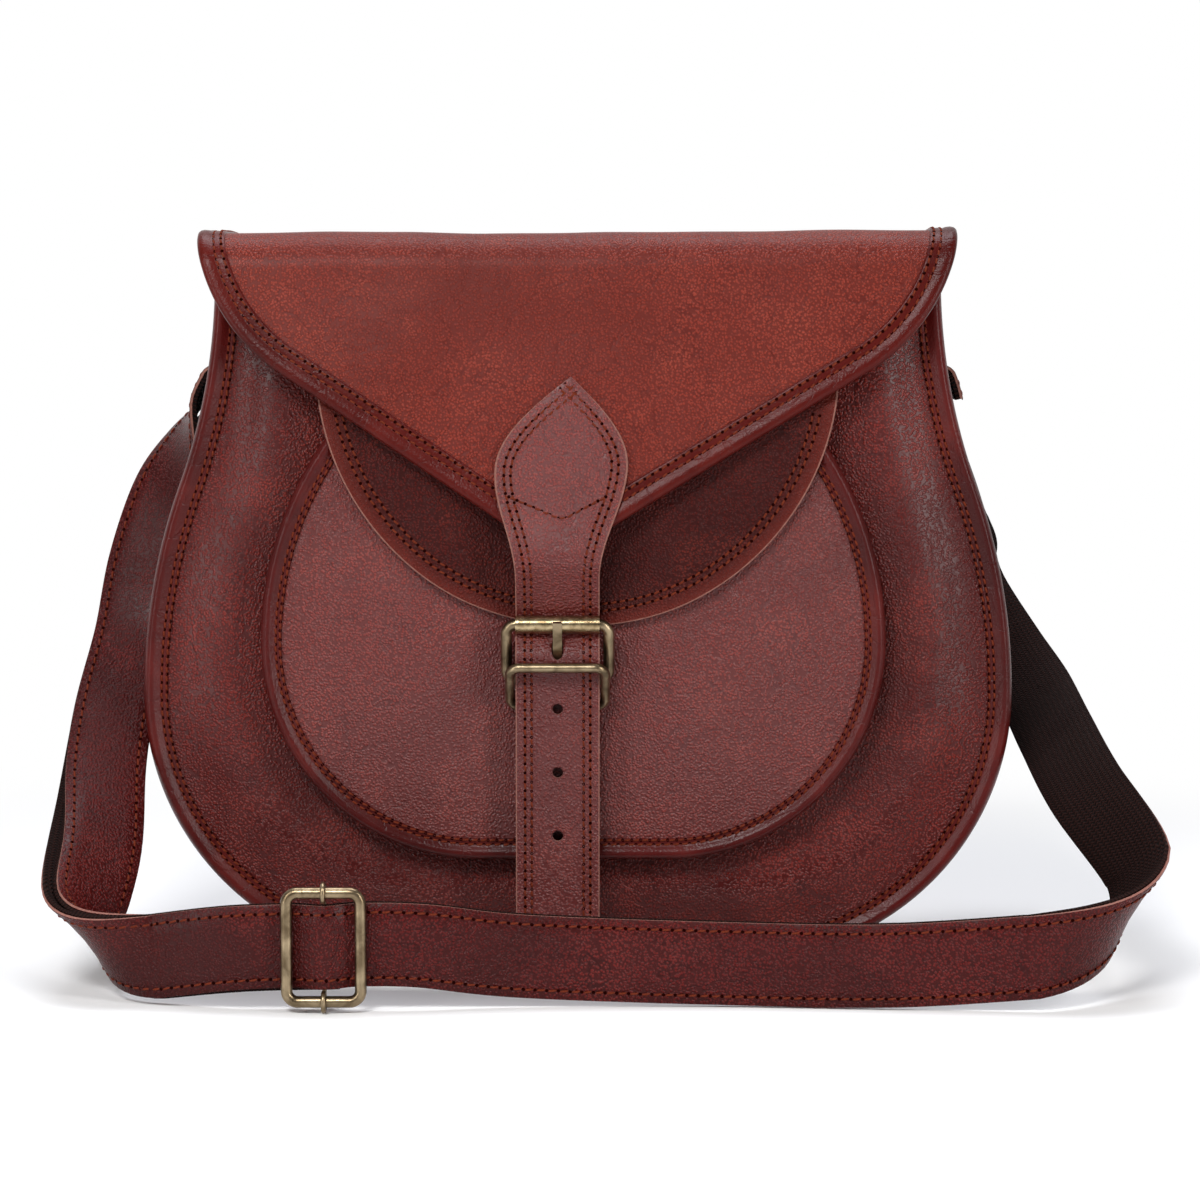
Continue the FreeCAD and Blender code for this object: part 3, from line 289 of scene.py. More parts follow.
def horseshoe(inset):
    """The body's edge from the left of its neck, down and round to the right of its neck."""
    run = BODY_HALF - NECK_HALF
    rise = BODY_HEIGHT - CORNER
    side = (run * run + rise * rise) / (4 * run)
    mid_u = (BODY_HALF + NECK_HALF) / 2 - inset * (1 - run / (2 * side))
    mid_v = (CORNER + BODY_HEIGHT) / 2 - inset * rise / (2 * side)
    flat = BODY_HALF - CORNER
    wide = BODY_HALF - inset
    neck = NECK_HALF - inset
    inner = BODY_HALF - side
    outer = NECK_HALF + side
    return [
        (-neck, BODY_HEIGHT, -1, -outer, BODY_HEIGHT), (-mid_u, mid_v, 1, -inner, CORNER),
        (-wide, CORNER, 1, -flat, CORNER), (-flat, inset), (flat, inset, 1, flat, CORNER),
        (wide, CORNER, 1, inner, CORNER), (mid_u, mid_v, -1, outer, BODY_HEIGHT), (neck, BODY_HEIGHT),
    ]


def make_piece(name, points, faces, finishes, finish_of=None, rim=None, weave=None, crisp=50):
    """A mesh object from points in millimetres, with its faces all turned outwards."""
    mesh = bpy.data.meshes.new(name)
    mesh.from_pydata([tuple(c * MM for c in point) for point in points], [], faces)
    for finish in finishes:
        mesh.materials.append(finish)
    if finish_of:
        mesh.polygons.foreach_set("material_index", finish_of)
    if rim:
        mesh.attributes.new("rim", "FLOAT", "POINT").data.foreach_set("value", rim)
    if weave:
        layer = mesh.uv_layers.new(name="weave")
        for loop in mesh.loops:
            layer.data[loop.index].uv = weave[loop.vertex_index]
    shell = bmesh.new()
    shell.from_mesh(mesh)
    bmesh.ops.recalc_face_normals(shell, faces=shell.faces)
    shell.to_mesh(mesh)
    shell.free()
    mesh.polygons.foreach_set("use_smooth", [True] * len(mesh.polygons))
    mesh.set_sharp_from_angle(angle=math.radians(crisp))
    mesh.update()
    piece = bpy.data.objects.new(name, mesh)
    scene.collection.objects.link(piece)
    return piece


def sheet_from(outline, centre, rings, front, back, edge_rows=2, darken=0.0, pale=False):
    """Points and faces of a flat-cut piece: rings of its outline shrunk to a centre, front and back."""
    count = len(outline)
    points = []
    rim = []
    for skin in (front, back):
        points.append(skin(centre[0], centre[1], 0.0))
        rim.append(0.0)
        for t in rings:
            for u, v in outline:
                points.append(skin(centre[0] + (u - centre[0]) * t, centre[1] + (v - centre[1]) * t, t))
                # The rim attribute: painted shade near the outline when darken is above 0, a painted
                # highlight there when it is below 0.
                rim.append(darken * max(0.0, (t - SHADE_START) / SHADE_RUN))
    size = 1 + len(rings) * count
    faces = []
    kinds = []
    for start, kind in ((0, 0), (size, 2)):
        for k in range(count):
            faces.append((start, start + 1 + k, start + 1 + (k + 1) % count))
            kinds.append(kind)
        for ring in range(len(rings) - 1):
            low = start + 1 + ring * count
            for k in range(count):
                after = (k + 1) % count
                faces.append((low + k, low + count + k, low + count + after, low + after))
                kinds.append(1 if pale and ring == len(rings) - 2 else kind)
    last = 1 + (len(rings) - 1) * count
    loops = [[last + k for k in range(count)]]
    for row in range(1, edge_rows + 1):
        t = row / (edge_rows + 1)
        puff = EDGE_PUFF * math.sin(math.pi * t)
        loop = []
        for k, (u, v) in enumerate(outline):
            one = Vector(points[last + k])
            two = Vector(points[size + last + k])
            out = Vector((u - centre[0], 0, v - centre[1])).normalized()
            points.append(tuple(one.lerp(two, t) + out * puff))
            rim.append(darken)
            loop.append(len(points) - 1)
        loops.append(loop)
    loops.append([size + last + k for k in range(count)])
    for one, two in zip(loops, loops[1:]):
        for k in range(count):
            after = (k + 1) % count
            faces.append((one[k], two[k], two[after], one[after]))
            kinds.append(1)
    return points, faces, kinds, rim


panel_centre = (0, 122)
BANK = 6.5
BANK_WIDTH = 26
BANK_FALL = 40
TOP_HOLD = 40
WAVE_START = 12


def body_swell(u, v, t):
    """How far a panel stands out: a bank inside the rim that sinks towards the pocket, with soft waves."""
    inset = (1 - t) / max(t, 0.01) * math.hypot(u - panel_centre[0], v - panel_centre[1])
    deep = max(0.0, inset - RIM_WIDTH + RIM_LAP)
    top = min(1.0, max(0.0, (BODY_HEIGHT - v) / TOP_HOLD))
    climb = min(1.0, deep / BANK_WIDTH)
    bank = BANK * climb * climb * (3 - 2 * climb) * math.exp(-max(0.0, deep - BANK_WIDTH) / BANK_FALL)
    ripple = noise.noise(Vector((u * 0.05, v * 0.01, 2.3))) * 1.5
    ripple += noise.noise(Vector((u * 0.02, v * 0.03, 7)))
    return (bank + ripple * min(1.0, deep / WAVE_START)) * top


PANEL_RINGS = [0.04, 0.12, 0.2, 0.28, 0.36, 0.44, 0.5, 0.56, 0.61, 0.66, 0.7, 0.74, 0.78, 0.815, 0.85, 0.88,
               0.91, 0.935, 0.96, 0.98, 1.0]
TUCK = 1.1
PANEL_STEP = 4.0
# RIM_SHADE: painted shade on the panels' edges, next to the bindings' rolls.
RIM_SHADE = 0.8
panel_edge = along(horseshoe(TUCK), PANEL_STEP, close=True)
for name, face_y, outward in (("front_panel", -LEATHER / 2, -1), ("back_panel", BACK_INNER + LEATHER, 1)):
    inward_y = face_y - outward * LEATHER
    points, faces, kinds, rim = sheet_from(
        panel_edge, panel_centre, PANEL_RINGS,
        lambda u, v, t: (u, face_y + outward * body_swell(u, v, t), v),
        lambda u, v, t: (u, inward_y + outward * body_swell(u, v, t), v), darken=RIM_SHADE)
    panel = make_piece("leather_" + name, points, faces, [body_leather], rim=rim)
    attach(panel, "bag")
    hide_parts(name)

# Gusset: one long strip of the same leather sewn between the two panels. It sinks inwards
# between the rims as a soft side does, but lies flat under the strap tabs.

RIM_GAP = 0.3
GUSSET_INSET = RIM_WIDTH + RIM_GAP
SAG = 6.5
LEAST_SAG = 1.2
SAG_SIDE = 110
TAB_HOLD_Z = 195
TAB_HOLD_RUN = 35


def inward(path, closed=False):
    """Unit steps to the left of an anticlockwise path, stretched at its corners."""
    count = len(path)
    steps = []
    for k in range(count):
        sides = []
        for a, b in ((k - 1, k), (k, k + 1)):
            if not closed and (a < 0 or b >= count):
                continue
            du = path[b % count][0] - path[a % count][0]
            dv = path[b % count][1] - path[a % count][1]
            length = math.hypot(du, dv) or 1.0
            sides.append((-dv / length, du / length))
        u = sum(s[0] for s in sides) / len(sides)
        v = sum(s[1] for s in sides) / len(sides)
        square = max(0.3, u * u + v * v)
        steps.append((u / square, v / square))
    return steps


def gusset_sag(share, u, v):
    """How far the side sinks in at a share of its depth and a place on its run."""
    side = min(1.0, abs(u) / SAG_SIDE)
    hold = 1 - min(1.0, max(0.0, (v - TAB_HOLD_Z) / TAB_HOLD_RUN))
    ripple = 1 + 0.35 * noise.noise(Vector((u * 0.015, v * 0.03, share * 1.5)))
    return (LEAST_SAG + SAG * side * hold) * math.sin(math.pi * share) ** 1.3 * ripple


def two_skins(stations, across):
    """Faces of an outer and an inner skin, each a grid of stations, joined round their edges."""
    row = across + 1
    skin = stations * row
    faces = []
    for start in (0, skin):
        for k in range(stations - 1):
            for j in range(across):
                a = start + k * row + j
                faces.append((a, a + 1, a + row + 1, a + row))
    border = list(range(row)) + [k * row + across for k in range(1, stations)]
    border += [(stations - 1) * row + j for j in range(across - 1, -1, -1)]
    border += [k * row for k in range(stations - 2, 0, -1)]
    for a, b in zip(border, border[1:] + border[:1]):
        faces.append((a, b, skin + b, skin + a))
    return faces


def trough(inset, wall, low_y, high_y, outline, sag, across=22, step=4.0):
    """A U-shaped strip between two depths, as an outer and an inner skin joined round their edges."""
    path = along(outline(inset), step)
    steps = inward(path)
    points = []
    for depth in (0.0, wall):
        for (u, v), (nu, nv) in zip(path, steps):
            for k in range(across + 1):
                share = k / across
                sink = depth + sag(share, u, v)
                points.append((u + nu * sink, low_y + (high_y - low_y) * share, v + nv * sink))
    return points, two_skins(len(path), across)


gusset_leather = grain_leather("gusset_leather", dye(50, 14, 12), dye(78, 25, 21), dye(92, 35, 29))
points, faces = trough(GUSSET_INSET, LEATHER, LEATHER / 2, BACK_INNER, horseshoe, gusset_sag)
gusset = make_piece("leather_gusset", points, faces, [gusset_leather])
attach(gusset, "bag")
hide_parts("gusset")

# Lining: a plain brown cotton tub, cut as two walls and a strip, that follows the gusset
# inside. It is sewn in under the rims.


def woven_cloth(name, dark, light):
    """Plain cotton: crossing threads with a cloudy dye."""
    finish, wire, shader = new_finish(name)
    place = wire.node("ShaderNodeTexCoord", {}, {}, "Object")
    parts = wire.node("ShaderNodeSeparateXYZ", {}, {0: place})
    x, y, z = (Wire(wire.tree, parts.socket.node.outputs[k]) for k in range(3))
    warp = (x * 9000 + y * 5200).wave()
    weft = (z * 9000 + y * 5200).wave()
    cross = warp * weft
    cloud = noise_at(wire, place, 30.0, 3.0)
    colour = (cross * 0.25 + cloud * 0.6 + 0.1).between(dark, light)
    bump = wire.node("ShaderNodeBump", {}, {"Strength": 0.4, "Distance": 0.0003, "Height": cross})
    dress(finish, shader, {"Base Color": colour, "Roughness": 0.9, "Normal": bump})
    return finish


lining_cloth = woven_cloth("lining_cloth", dye(58, 40, 32), dye(98, 72, 56))
CLOTH = 0.6
SEAM = 0.1
lining_inset = GUSSET_INSET + LEATHER + SEAM
lining_low = LEATHER / 2 + SEAM
lining_high = BACK_INNER - SEAM
points, faces = trough(lining_inset, CLOTH, lining_low, lining_high, horseshoe, gusset_sag)
WALL_GAP = 0.3
WALL_STEP = 5.0
WALL_RINGS = [0.1, 0.3, 0.5, 0.7, 0.85, 1.0]
wall_edge = along(horseshoe(lining_inset + WALL_GAP), WALL_STEP, close=True)
for near, far in ((lining_low, lining_low + CLOTH), (lining_high - CLOTH, lining_high)):
    wall, wall_faces, kinds, rim = sheet_from(wall_edge, panel_centre, WALL_RINGS,
                                              lambda u, v, t: (u, near, v), lambda u, v, t: (u, far, v))
    faces += [tuple(k + len(points) for k in face) for face in wall_faces]
    points += wall
lining = make_piece("cloth_lining", points, faces, [lining_cloth])
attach(lining, "bag")
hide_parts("lining")

# Rim bindings: a strip of leather folded over each panel's edge. Its outer half stands up as
# a plump roll, and two rows of machine stitching hold its inner half down.

binding_leather = grain_leather("binding_leather", dye(44, 11, 10), dye(78, 23, 21), dye(98, 35, 31),
                                gloss=0.28, shine=0.16, grain=0.15)


def sweep(path, profile, place, closed=False):
    """A strip of one cross-section along a path; the section is (inset, lift) points in a ring."""
    steps = inward(path, closed)
    count = len(profile)
    points = []
    for (u, v), (nu, nv) in zip(path, steps):
        for inset, lift in profile:
            points.append(place(u + nu * inset, v + nv * inset, lift))
    faces = []
    stations = len(path)
    for k in range(stations if closed else stations - 1):
        for j in range(count):
            a = k * count + j
            b = k * count + (j + 1) % count
            shift = ((k + 1) % stations - k) * count
            faces.append((a, b, b + shift, a + shift))
    if not closed:
        faces.append(tuple(range(count)))
        faces.append(tuple((stations - 1) * count + j for j in range(count)))
    return points, faces


def folded_section(width, half, roll):
    """Cross-section of a folded binding on a panel of the given half thickness."""
    front = [
        (width, half), (width - 0.1, half + 0.5), (width - 0.6, half + 0.8), (width - 1.3, half + 0.62),
        (width - 2.0, half + 0.5), (width - 2.7, half + 0.66), (width - 3.4, half + 1.05),
        (width * 0.45, half + 0.72 + roll * 0.7), (width * 0.3, half + 0.72 + roll),
        (width * 0.16, half + 0.6 + roll * 0.8), (width * 0.06, half + roll * 0.35), (0.02, half * 0.45),
    ]
    return [(a, -b) for a, b in front] + [(a, b) for a, b in front[::-1]]


thread_paint, wire, shader = new_finish("rust_thread")
place = wire.node("ShaderNodeTexCoord", {}, {}, "Object")
strand = noise_at(wire, place, 1800.0)
twist = wire.node("ShaderNodeBump", {}, {"Strength": 0.4, "Distance": 0.0002, "Height": strand})
dress(thread_paint, shader, {"Base Color": strand.between(dye(70, 27, 17), dye(114, 51, 32)),
                             "Roughness": 0.7, "Specular IOR Level": 0.1, "Normal": twist})
# Needle holes are small dark discs: painted shade that stands for the depth of each hole.
hole_paint, wire, shader = new_finish("needle_hole")
place = wire.node("ShaderNodeTexCoord", {}, {}, "Object")
shadow = noise_at(wire, place, 900.0).between(dye(20, 7, 6), dye(38, 14, 11))
dress(hole_paint, shader, {"Base Color": shadow, "Roughness": 1.0, "Specular IOR Level": 0.0})


def evenly(path, pitch):
    """Places on a polyline in space, about a pitch apart, with the heading at each."""
    lengths = [0.0]
    for a, b in zip(path, path[1:]):
        lengths.append(lengths[-1] + (b - a).length)
    count = max(2, round(lengths[-1] / pitch))
    found = []
    k = 0
    for step in range(count + 1):
        want = lengths[-1] * step / count
        while k < len(path) - 2 and lengths[k + 1] < want:
            k += 1
        t = (want - lengths[k]) / max(1e-9, lengths[k + 1] - lengths[k])
        found.append((path[k].lerp(path[k + 1], t), (path[k + 1] - path[k]).normalized(), k, t))
    return found


STITCH = 3.4
THREAD = 0.42
HOLE = 0.6
THREAD_ARCH = (
    (0.13, 0.45, -0.35), (0.27, 0.9, 0.12), (0.5, 1.0, 0.3), (0.73, 0.9, 0.12), (0.87, 0.45, -0.35),
)
THREAD_SIDES = 6
THREAD_FLAT = 0.8
STITCH_SLANT = 0.07
HOLE_SIDES = 8
HOLE_MIDDLE = 0.02
HOLE_RINGS = ((1.0, 0.06), (1.25, -0.3))


def sew(name, rows, body, pitch=STITCH, thread=THREAD, hole=HOLE):
    """Rows of lockstitch. A row is places on a surface with its outward normals: (point, normal) pairs."""
    points = []
    faces = []
    kinds = []
    for row in rows:
        path = [Vector(p) for p, n in row]
        normals = [Vector(n).normalized() for p, n in row]
        marks = []
        for point, heading, k, t in evenly(path, pitch):
            after = normals[min(k + 1, len(normals) - 1)]
            marks.append((point, heading, normals[k].lerp(after, t).normalized()))
        for (a, heading, up), following in zip(marks, marks[1:]):
            b = following[0]
            across = heading.cross(up).normalized()
            lean = across * (pitch * STITCH_SLANT)
            base = len(points)
            for t, width, lift in THREAD_ARCH:
                middle = a.lerp(b, t) + lean * (1 - 2 * t) + up * (lift * thread * 2)
                for side in range(THREAD_SIDES):
                    angle = 2 * math.pi * side / THREAD_SIDES
                    points.append(tuple(middle + across * (math.cos(angle) * thread * width)
                                        + up * (math.sin(angle) * thread * width * THREAD_FLAT)))
            for ring in range(len(THREAD_ARCH) - 1):
                for side in range(THREAD_SIDES):
                    one = base + ring * THREAD_SIDES + side
                    two = base + ring * THREAD_SIDES + (side + 1) % THREAD_SIDES
                    faces.append((one, two, two + THREAD_SIDES, one + THREAD_SIDES))
                    kinds.append(0)
            far_end = base + (len(THREAD_ARCH) - 1) * THREAD_SIDES
            faces.append(tuple(base + side for side in range(THREAD_SIDES)))
            faces.append(tuple(far_end + side for side in range(THREAD_SIDES)))
            kinds += [0, 0]
        for point, heading, up in marks:
            across = heading.cross(up).normalized()
            base = len(points)
            points.append(tuple(point + up * HOLE_MIDDLE))
            for ring, lift in HOLE_RINGS:
                for side in range(HOLE_SIDES):
                    angle = 2 * math.pi * side / HOLE_SIDES
                    points.append(tuple(point + heading * (math.cos(angle) * hole * ring)
                                        + across * (math.sin(angle) * hole * ring) + up * lift))
            for side in range(HOLE_SIDES):
                one = base + 1 + side
                two = base + 1 + (side + 1) % HOLE_SIDES
                faces.append((base, one, two))
                faces.append((one, one + HOLE_SIDES, two + HOLE_SIDES, two))
                kinds += [1, 1]
            faces.append(tuple(base + 1 + HOLE_SIDES + side for side in range(HOLE_SIDES)))
            kinds.append(1)
    seam = make_piece(name, points, faces, [thread_paint, hole_paint], finish_of=kinds)
    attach(seam, body)


BINDING_STEP = 2.5
RIM_ROLL = 1.9
FOLD_CRISP = 70
rim_path = along(horseshoe(0), BINDING_STEP)
rim_steps = inward(rim_path)
rim_section = folded_section(RIM_WIDTH, LEATHER / 2, RIM_ROLL)
RIM_ROWS = ((6.7, 0.58), (8.6, 0.7))
for name, middle_y in (("front_edge_binding", 0.0), ("back_edge_binding", BACK_INNER + LEATHER / 2)):
    points, faces = sweep(rim_path, rim_section, lambda u, v, lift: (u, middle_y + lift, v))
    strip = make_piece("folded_" + name, points, faces, [binding_leather], crisp=FOLD_CRISP)
    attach(strip, "bag")
    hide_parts(name)
    outward = -1 if middle_y == 0 else 1
    rows = []
    for inset, lift in RIM_ROWS:
        y = middle_y + outward * (LEATHER / 2 + lift)
        rows.append([((u + nu * inset, y, v + nv * inset), (0, outward, 0))
                     for (u, v), (nu, nv) in zip(rim_path, rim_steps)])
    sew("stitches_" + name, rows, "bag")

# Front pocket: a smaller rounded panel on a narrow gusset of its own, bound round its edge
# like the rims. Its panel is pillowed on either side of the closure strap that presses on it.

POCKET_X = -1.7
POCKET_HALF = 118
POCKET_FOOT = 42
POCKET_CORNER = 82
POCKET_TOP = 206
MOUTH_HALF = 90
POCKET_DEPTH = 14
POCKET_RIM = 8
POCKET_ROLL = 1.6
POCKET_SAG = 1.5
POCKET_STEP = 3.5
PILLOW = 4.2
PILLOW_HALF = 104
PILLOW_TALL = 78
PILLOW_Z = 122
VALLEY_HALF = 34
CLOSURE_X = -7.5
pocket_inner = -LEATHER / 2 - POCKET_DEPTH
pocket_face = pocket_inner - LEATHER


def pocket_edge(inset):
    """The pocket's edge from the left of its mouth, down and round to the right of its mouth."""
    side_z = POCKET_FOOT + POCKET_CORNER
    run = POCKET_HALF - MOUTH_HALF
    rise = POCKET_TOP - side_z
    side = (run * run + rise * rise) / (2 * run)
    centre = POCKET_HALF - side
    mouth = centre + math.sqrt((side - inset) ** 2 - rise * rise)
    flat = POCKET_HALF - POCKET_CORNER
    wide = POCKET_HALF - inset
    x = POCKET_X
    return [
        (x - mouth, POCKET_TOP, 1, x - centre, side_z), (x - wide, side_z, 1, x - flat, side_z),
        (x - flat, POCKET_FOOT + inset), (x + flat, POCKET_FOOT + inset, 1, x + flat, side_z),
        (x + wide, side_z, 1, x + centre, side_z), (x + mouth, POCKET_TOP),
    ]


def pillow(u, v):
    """How far the filled pocket stands out, with a valley under the closure strap."""
    reach = math.hypot((u - POCKET_X) / PILLOW_HALF, (v - PILLOW_Z) / PILLOW_TALL)
    dome = max(0.0, 1 - reach * reach)
    valley = 1 - math.exp(-((u - CLOSURE_X) / VALLEY_HALF) ** 4)
    ripple = noise.noise(Vector((u * 0.03, v * 0.03, 11))) * 0.9
    return dome * valley * (PILLOW + ripple)


pocket_leather = grain_leather("pocket_leather", dye(72, 21, 19), dye(114, 42, 36), dye(132, 56, 48),
                               gloss=0.38, shine=0.48)
points, faces, kinds, rim = sheet_from(
    along(pocket_edge(TUCK), POCKET_STEP, close=True), (POCKET_X, POCKET_FOOT + POCKET_CORNER), PANEL_RINGS,
    lambda u, v, t: (u, pocket_face - pillow(u, v), v), lambda u, v, t: (u, pocket_inner - pillow(u, v), v),
    darken=RIM_SHADE)
pocket_panel = make_piece("leather_pocket_panel", points, faces, [pocket_leather], rim=rim)
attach(pocket_panel, "bag")
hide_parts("pocket_panel")

points, faces = trough(POCKET_RIM + RIM_GAP, LEATHER, pocket_inner, -LEATHER / 2, pocket_edge,
                       lambda share, u, v: POCKET_SAG * math.sin(math.pi * share), across=8)
pocket_gusset = make_piece("leather_pocket_gusset", points, faces, [gusset_leather])
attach(pocket_gusset, "bag")
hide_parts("pocket_gusset")

pocket_path = along(pocket_edge(0), BINDING_STEP)
pocket_steps = inward(pocket_path)
pocket_middle = pocket_inner - LEATHER / 2
points, faces = sweep(pocket_path, folded_section(POCKET_RIM, LEATHER / 2, POCKET_ROLL),
                      lambda u, v, lift: (u, pocket_middle + lift, v))
pocket_binding = make_piece("folded_pocket_binding", points, faces, [binding_leather], crisp=FOLD_CRISP)
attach(pocket_binding, "bag")
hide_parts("pocket_binding")
POCKET_ROWS = ((5.6, 0.55), (7.3, 0.72))
rows = []
for inset, lift in POCKET_ROWS:
    rows.append([((u + nu * inset, pocket_face - lift, v + nv * inset), (0, -1, 0))
                 for (u, v), (nu, nv) in zip(pocket_path, pocket_steps)])
sew("stitches_pocket_binding", rows, "bag")

# Pocket flap: a half disc of raw-edged leather sewn to the front panel, which bends over the
# pocket's mouth and hangs down its front. Two rows of stitching run inside the pale cut edge.

DISC = 98
DISC_Z = 229
FOLD_TOP = 231
BEND_Z = 212
BINDING = 1.0
COVER_LIFT = 0.4
ROOT_LEAD = 0.2
cover_face = pocket_face - BINDING - COVER_LIFT - LEATHER
root_y = -LEATHER / 2 - ROOT_LEAD
COVER_MIDDLE = (0, 190)
COVER_STEP = 3.0
COVER_RINGS = PANEL_RINGS[:-1] + [0.9945, 1.0]
COVER_STAND = 1.2
STAND_RUN = 70
PRESSED_HALF = 30
RIPPLE_RUN = 20
ROOT_DROP = 0.8
# COVER_RIM_LIGHT: a painted highlight along the pocket flap's rim, which leaves the rest of the flap darker
# as painted shade under the main flap.
COVER_RIM_LIGHT = -0.45


def cut_fibre(name, scale, dark, light):
    """The bare cut of leather: pale fibres, a little frayed."""
    finish, wire, shader = new_finish(name)
    place = wire.node("ShaderNodeTexCoord", {}, {}, "Object")
    fibre = noise_at(wire, place, scale, 3.0)
    fray = wire.node("ShaderNodeBump", {}, {"Strength": 0.4, "Distance": 0.0002, "Height": fibre})
    dress(finish, shader, {"Base Color": fibre.between(dark, light), "Roughness": 0.85, "Normal": fray})
    return finish


cut_edge = cut_fibre("cut_leather_edge", 700.0, dye(84, 44, 37), dye(138, 94, 82))
flap_suede, wire, shader = new_finish("suede_back")
place = wire.node("ShaderNodeTexCoord", {}, {}, "Object")
nap = noise_at(wire, place, 500.0, 4.0)
cloud = noise_at(wire, place, 25.0, 3.0)
brushed = wire.node("ShaderNodeBump", {}, {"Strength": 0.5, "Distance": 0.0003, "Height": nap})
suede_tone = (nap * 0.5 + cloud * 0.5).between(dye(92, 56, 44), dye(142, 98, 80))
dress(flap_suede, shader, {"Base Color": suede_tone, "Roughness": 0.95, "Normal": brushed})


def cover_y(u, v):
    """Depth of the pocket flap's outer face: over the mouth, then down the pocket's front."""
    if v > BEND_Z:
        t = (FOLD_TOP - v) / (FOLD_TOP - BEND_Z)
        hump = math.sin(min(1.0, t) * math.pi / 2)
        return root_y + (cover_face - root_y) * hump
    drop = BEND_Z - v
    free = 1 - math.exp(-((u - CLOSURE_X) / PRESSED_HALF) ** 4)
    ripple = noise.noise(Vector((u * 0.035, v * 0.02, 21))) * 0.7 * min(1.0, drop / RIPPLE_RUN)
    stand = COVER_STAND * min(1.0, drop / STAND_RUN)
    return cover_face - pillow(u, v) + (ripple - stand) * free


cover_leather = grain_leather("cover_leather", dye(44, 13, 11), dye(74, 25, 21), dye(110, 44, 35),
                              gloss=0.36, shine=0.12)
cover_edge = along([(-DISC, FOLD_TOP), (-DISC, DISC_Z, 1, 0, DISC_Z), (DISC, DISC_Z), (DISC, FOLD_TOP)],
                   COVER_STEP, close=True)
points, faces, kinds, rim = sheet_from(
    cover_edge, COVER_MIDDLE, COVER_RINGS, lambda u, v, t: (u, cover_y(u, v), v),
    lambda u, v, t: (u, cover_y(u, v) + LEATHER, v - (ROOT_DROP if v > BEND_Z else 0)),
    darken=COVER_RIM_LIGHT, pale=True)
cover = make_piece("leather_pocket_flap", points, faces, [cover_leather, cut_edge, flap_suede],
                   finish_of=kinds, rim=rim)
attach(cover, "inner_flap")
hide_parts("pocket_flap")
cover_path = along([(-DISC, DISC_Z, 1, 0, DISC_Z), (DISC, DISC_Z)], BINDING_STEP)
cover_steps = inward(cover_path)
COVER_ROWS = (5.4, 8.0)
rows = []
for inset in COVER_ROWS:
    rows.append([((u + nu * inset, cover_y(u + nu * inset, v + nv * inset), v + nv * inset), (0, -1, 0))
                 for (u, v), (nu, nv) in zip(cover_path, cover_steps) if v + nv * inset < BEND_Z])
sew("stitches_pocket_flap", rows, "inner_flap")

# Main flap: one sheet from the back panel's top edge, over the bag and down the front to a
# blunt point, lined with suede and bound along its edge with two stitched rows.

FLAP_HALF = 144
SHOULDER_Z = 248
TIP_Z = 157
FLAP_CORNER = 72
FLAP_TOP = 279
BACK_BEND = 14
FRONT_BEND = 16
SLOPE = math.radians(10)
HINGE_GAP = 0.4
HINGE_Z = BODY_HEIGHT + HINGE_GAP
FLAP_RIM = 10.5
FLAP_STAND_OFF = 4.4
PRESS_TOP = 256
PRESS_RUN = 34
PRESS_HALF = 42
HINGE_HOLD = 18
TIP_HOLD = 20
back_face = BACK_INNER + LEATHER
flap_face_y = cover_face - FLAP_STAND_OFF
front_bend_z = FLAP_TOP - FRONT_BEND
front_line_z = front_bend_z + FRONT_BEND * math.sin(SLOPE)
front_bend_y = flap_face_y + (front_line_z - BEND_Z) * math.tan(SLOPE) + FRONT_BEND * math.cos(SLOPE)
RISE_RUN = FLAP_TOP - BACK_BEND - HINGE_Z
BACK_RUN = RISE_RUN + BACK_BEND * math.pi / 2
TOP_RUN = BACK_RUN + back_face - BACK_BEND - front_bend_y
FRONT_RUN = TOP_RUN + FRONT_BEND * (math.pi / 2 - SLOPE)
FLAP_LENGTH = FRONT_RUN + (front_line_z - TIP_Z) / math.cos(SLOPE)


def flap_line(s, lift):
    """The flap's side profile: depth and height at a length from the hinge, lifted outwards."""
    if s < RISE_RUN:
        return back_face + lift, HINGE_Z + s
    if s < BACK_RUN:
        turn = (s - RISE_RUN) / BACK_BEND
        reach = BACK_BEND + lift
        return back_face - BACK_BEND + reach * math.cos(turn), FLAP_TOP - BACK_BEND + reach * math.sin(turn)
    if s < TOP_RUN:
        return back_face - BACK_BEND - (s - BACK_RUN), FLAP_TOP + lift
    if s < FRONT_RUN:
        turn = math.pi / 2 + (s - TOP_RUN) / FRONT_BEND
        reach = FRONT_BEND + lift
        return front_bend_y + reach * math.cos(turn), front_bend_z + reach * math.sin(turn)
    run = s - FRONT_RUN
    reach = FRONT_BEND + lift
    return (front_bend_y - reach * math.cos(SLOPE) - run * math.sin(SLOPE),
            front_bend_z + reach * math.sin(SLOPE) - run * math.cos(SLOPE))


def flap_half_at(side, z):
    """Half width of the pointed outline at a height: rounded shoulders, then straight to the tip."""
    run = FLAP_HALF - side * CLOSURE_X
    rise = SHOULDER_Z - TIP_Z
    length = math.hypot(run, rise)
    reach = FLAP_CORNER * (length - rise) / run
    corner_z = SHOULDER_Z + reach
    touch_u = FLAP_HALF - reach * run / length
    touch_v = SHOULDER_Z - reach * rise / length
    if z >= touch_v:
        return FLAP_HALF - FLAP_CORNER + math.sqrt(max(0.0, FLAP_CORNER ** 2 - max(0.0, corner_z - z) ** 2))
    share = (z - TIP_Z) / (touch_v - TIP_Z)
    return side * CLOSURE_X + (touch_u - side * CLOSURE_X) * share


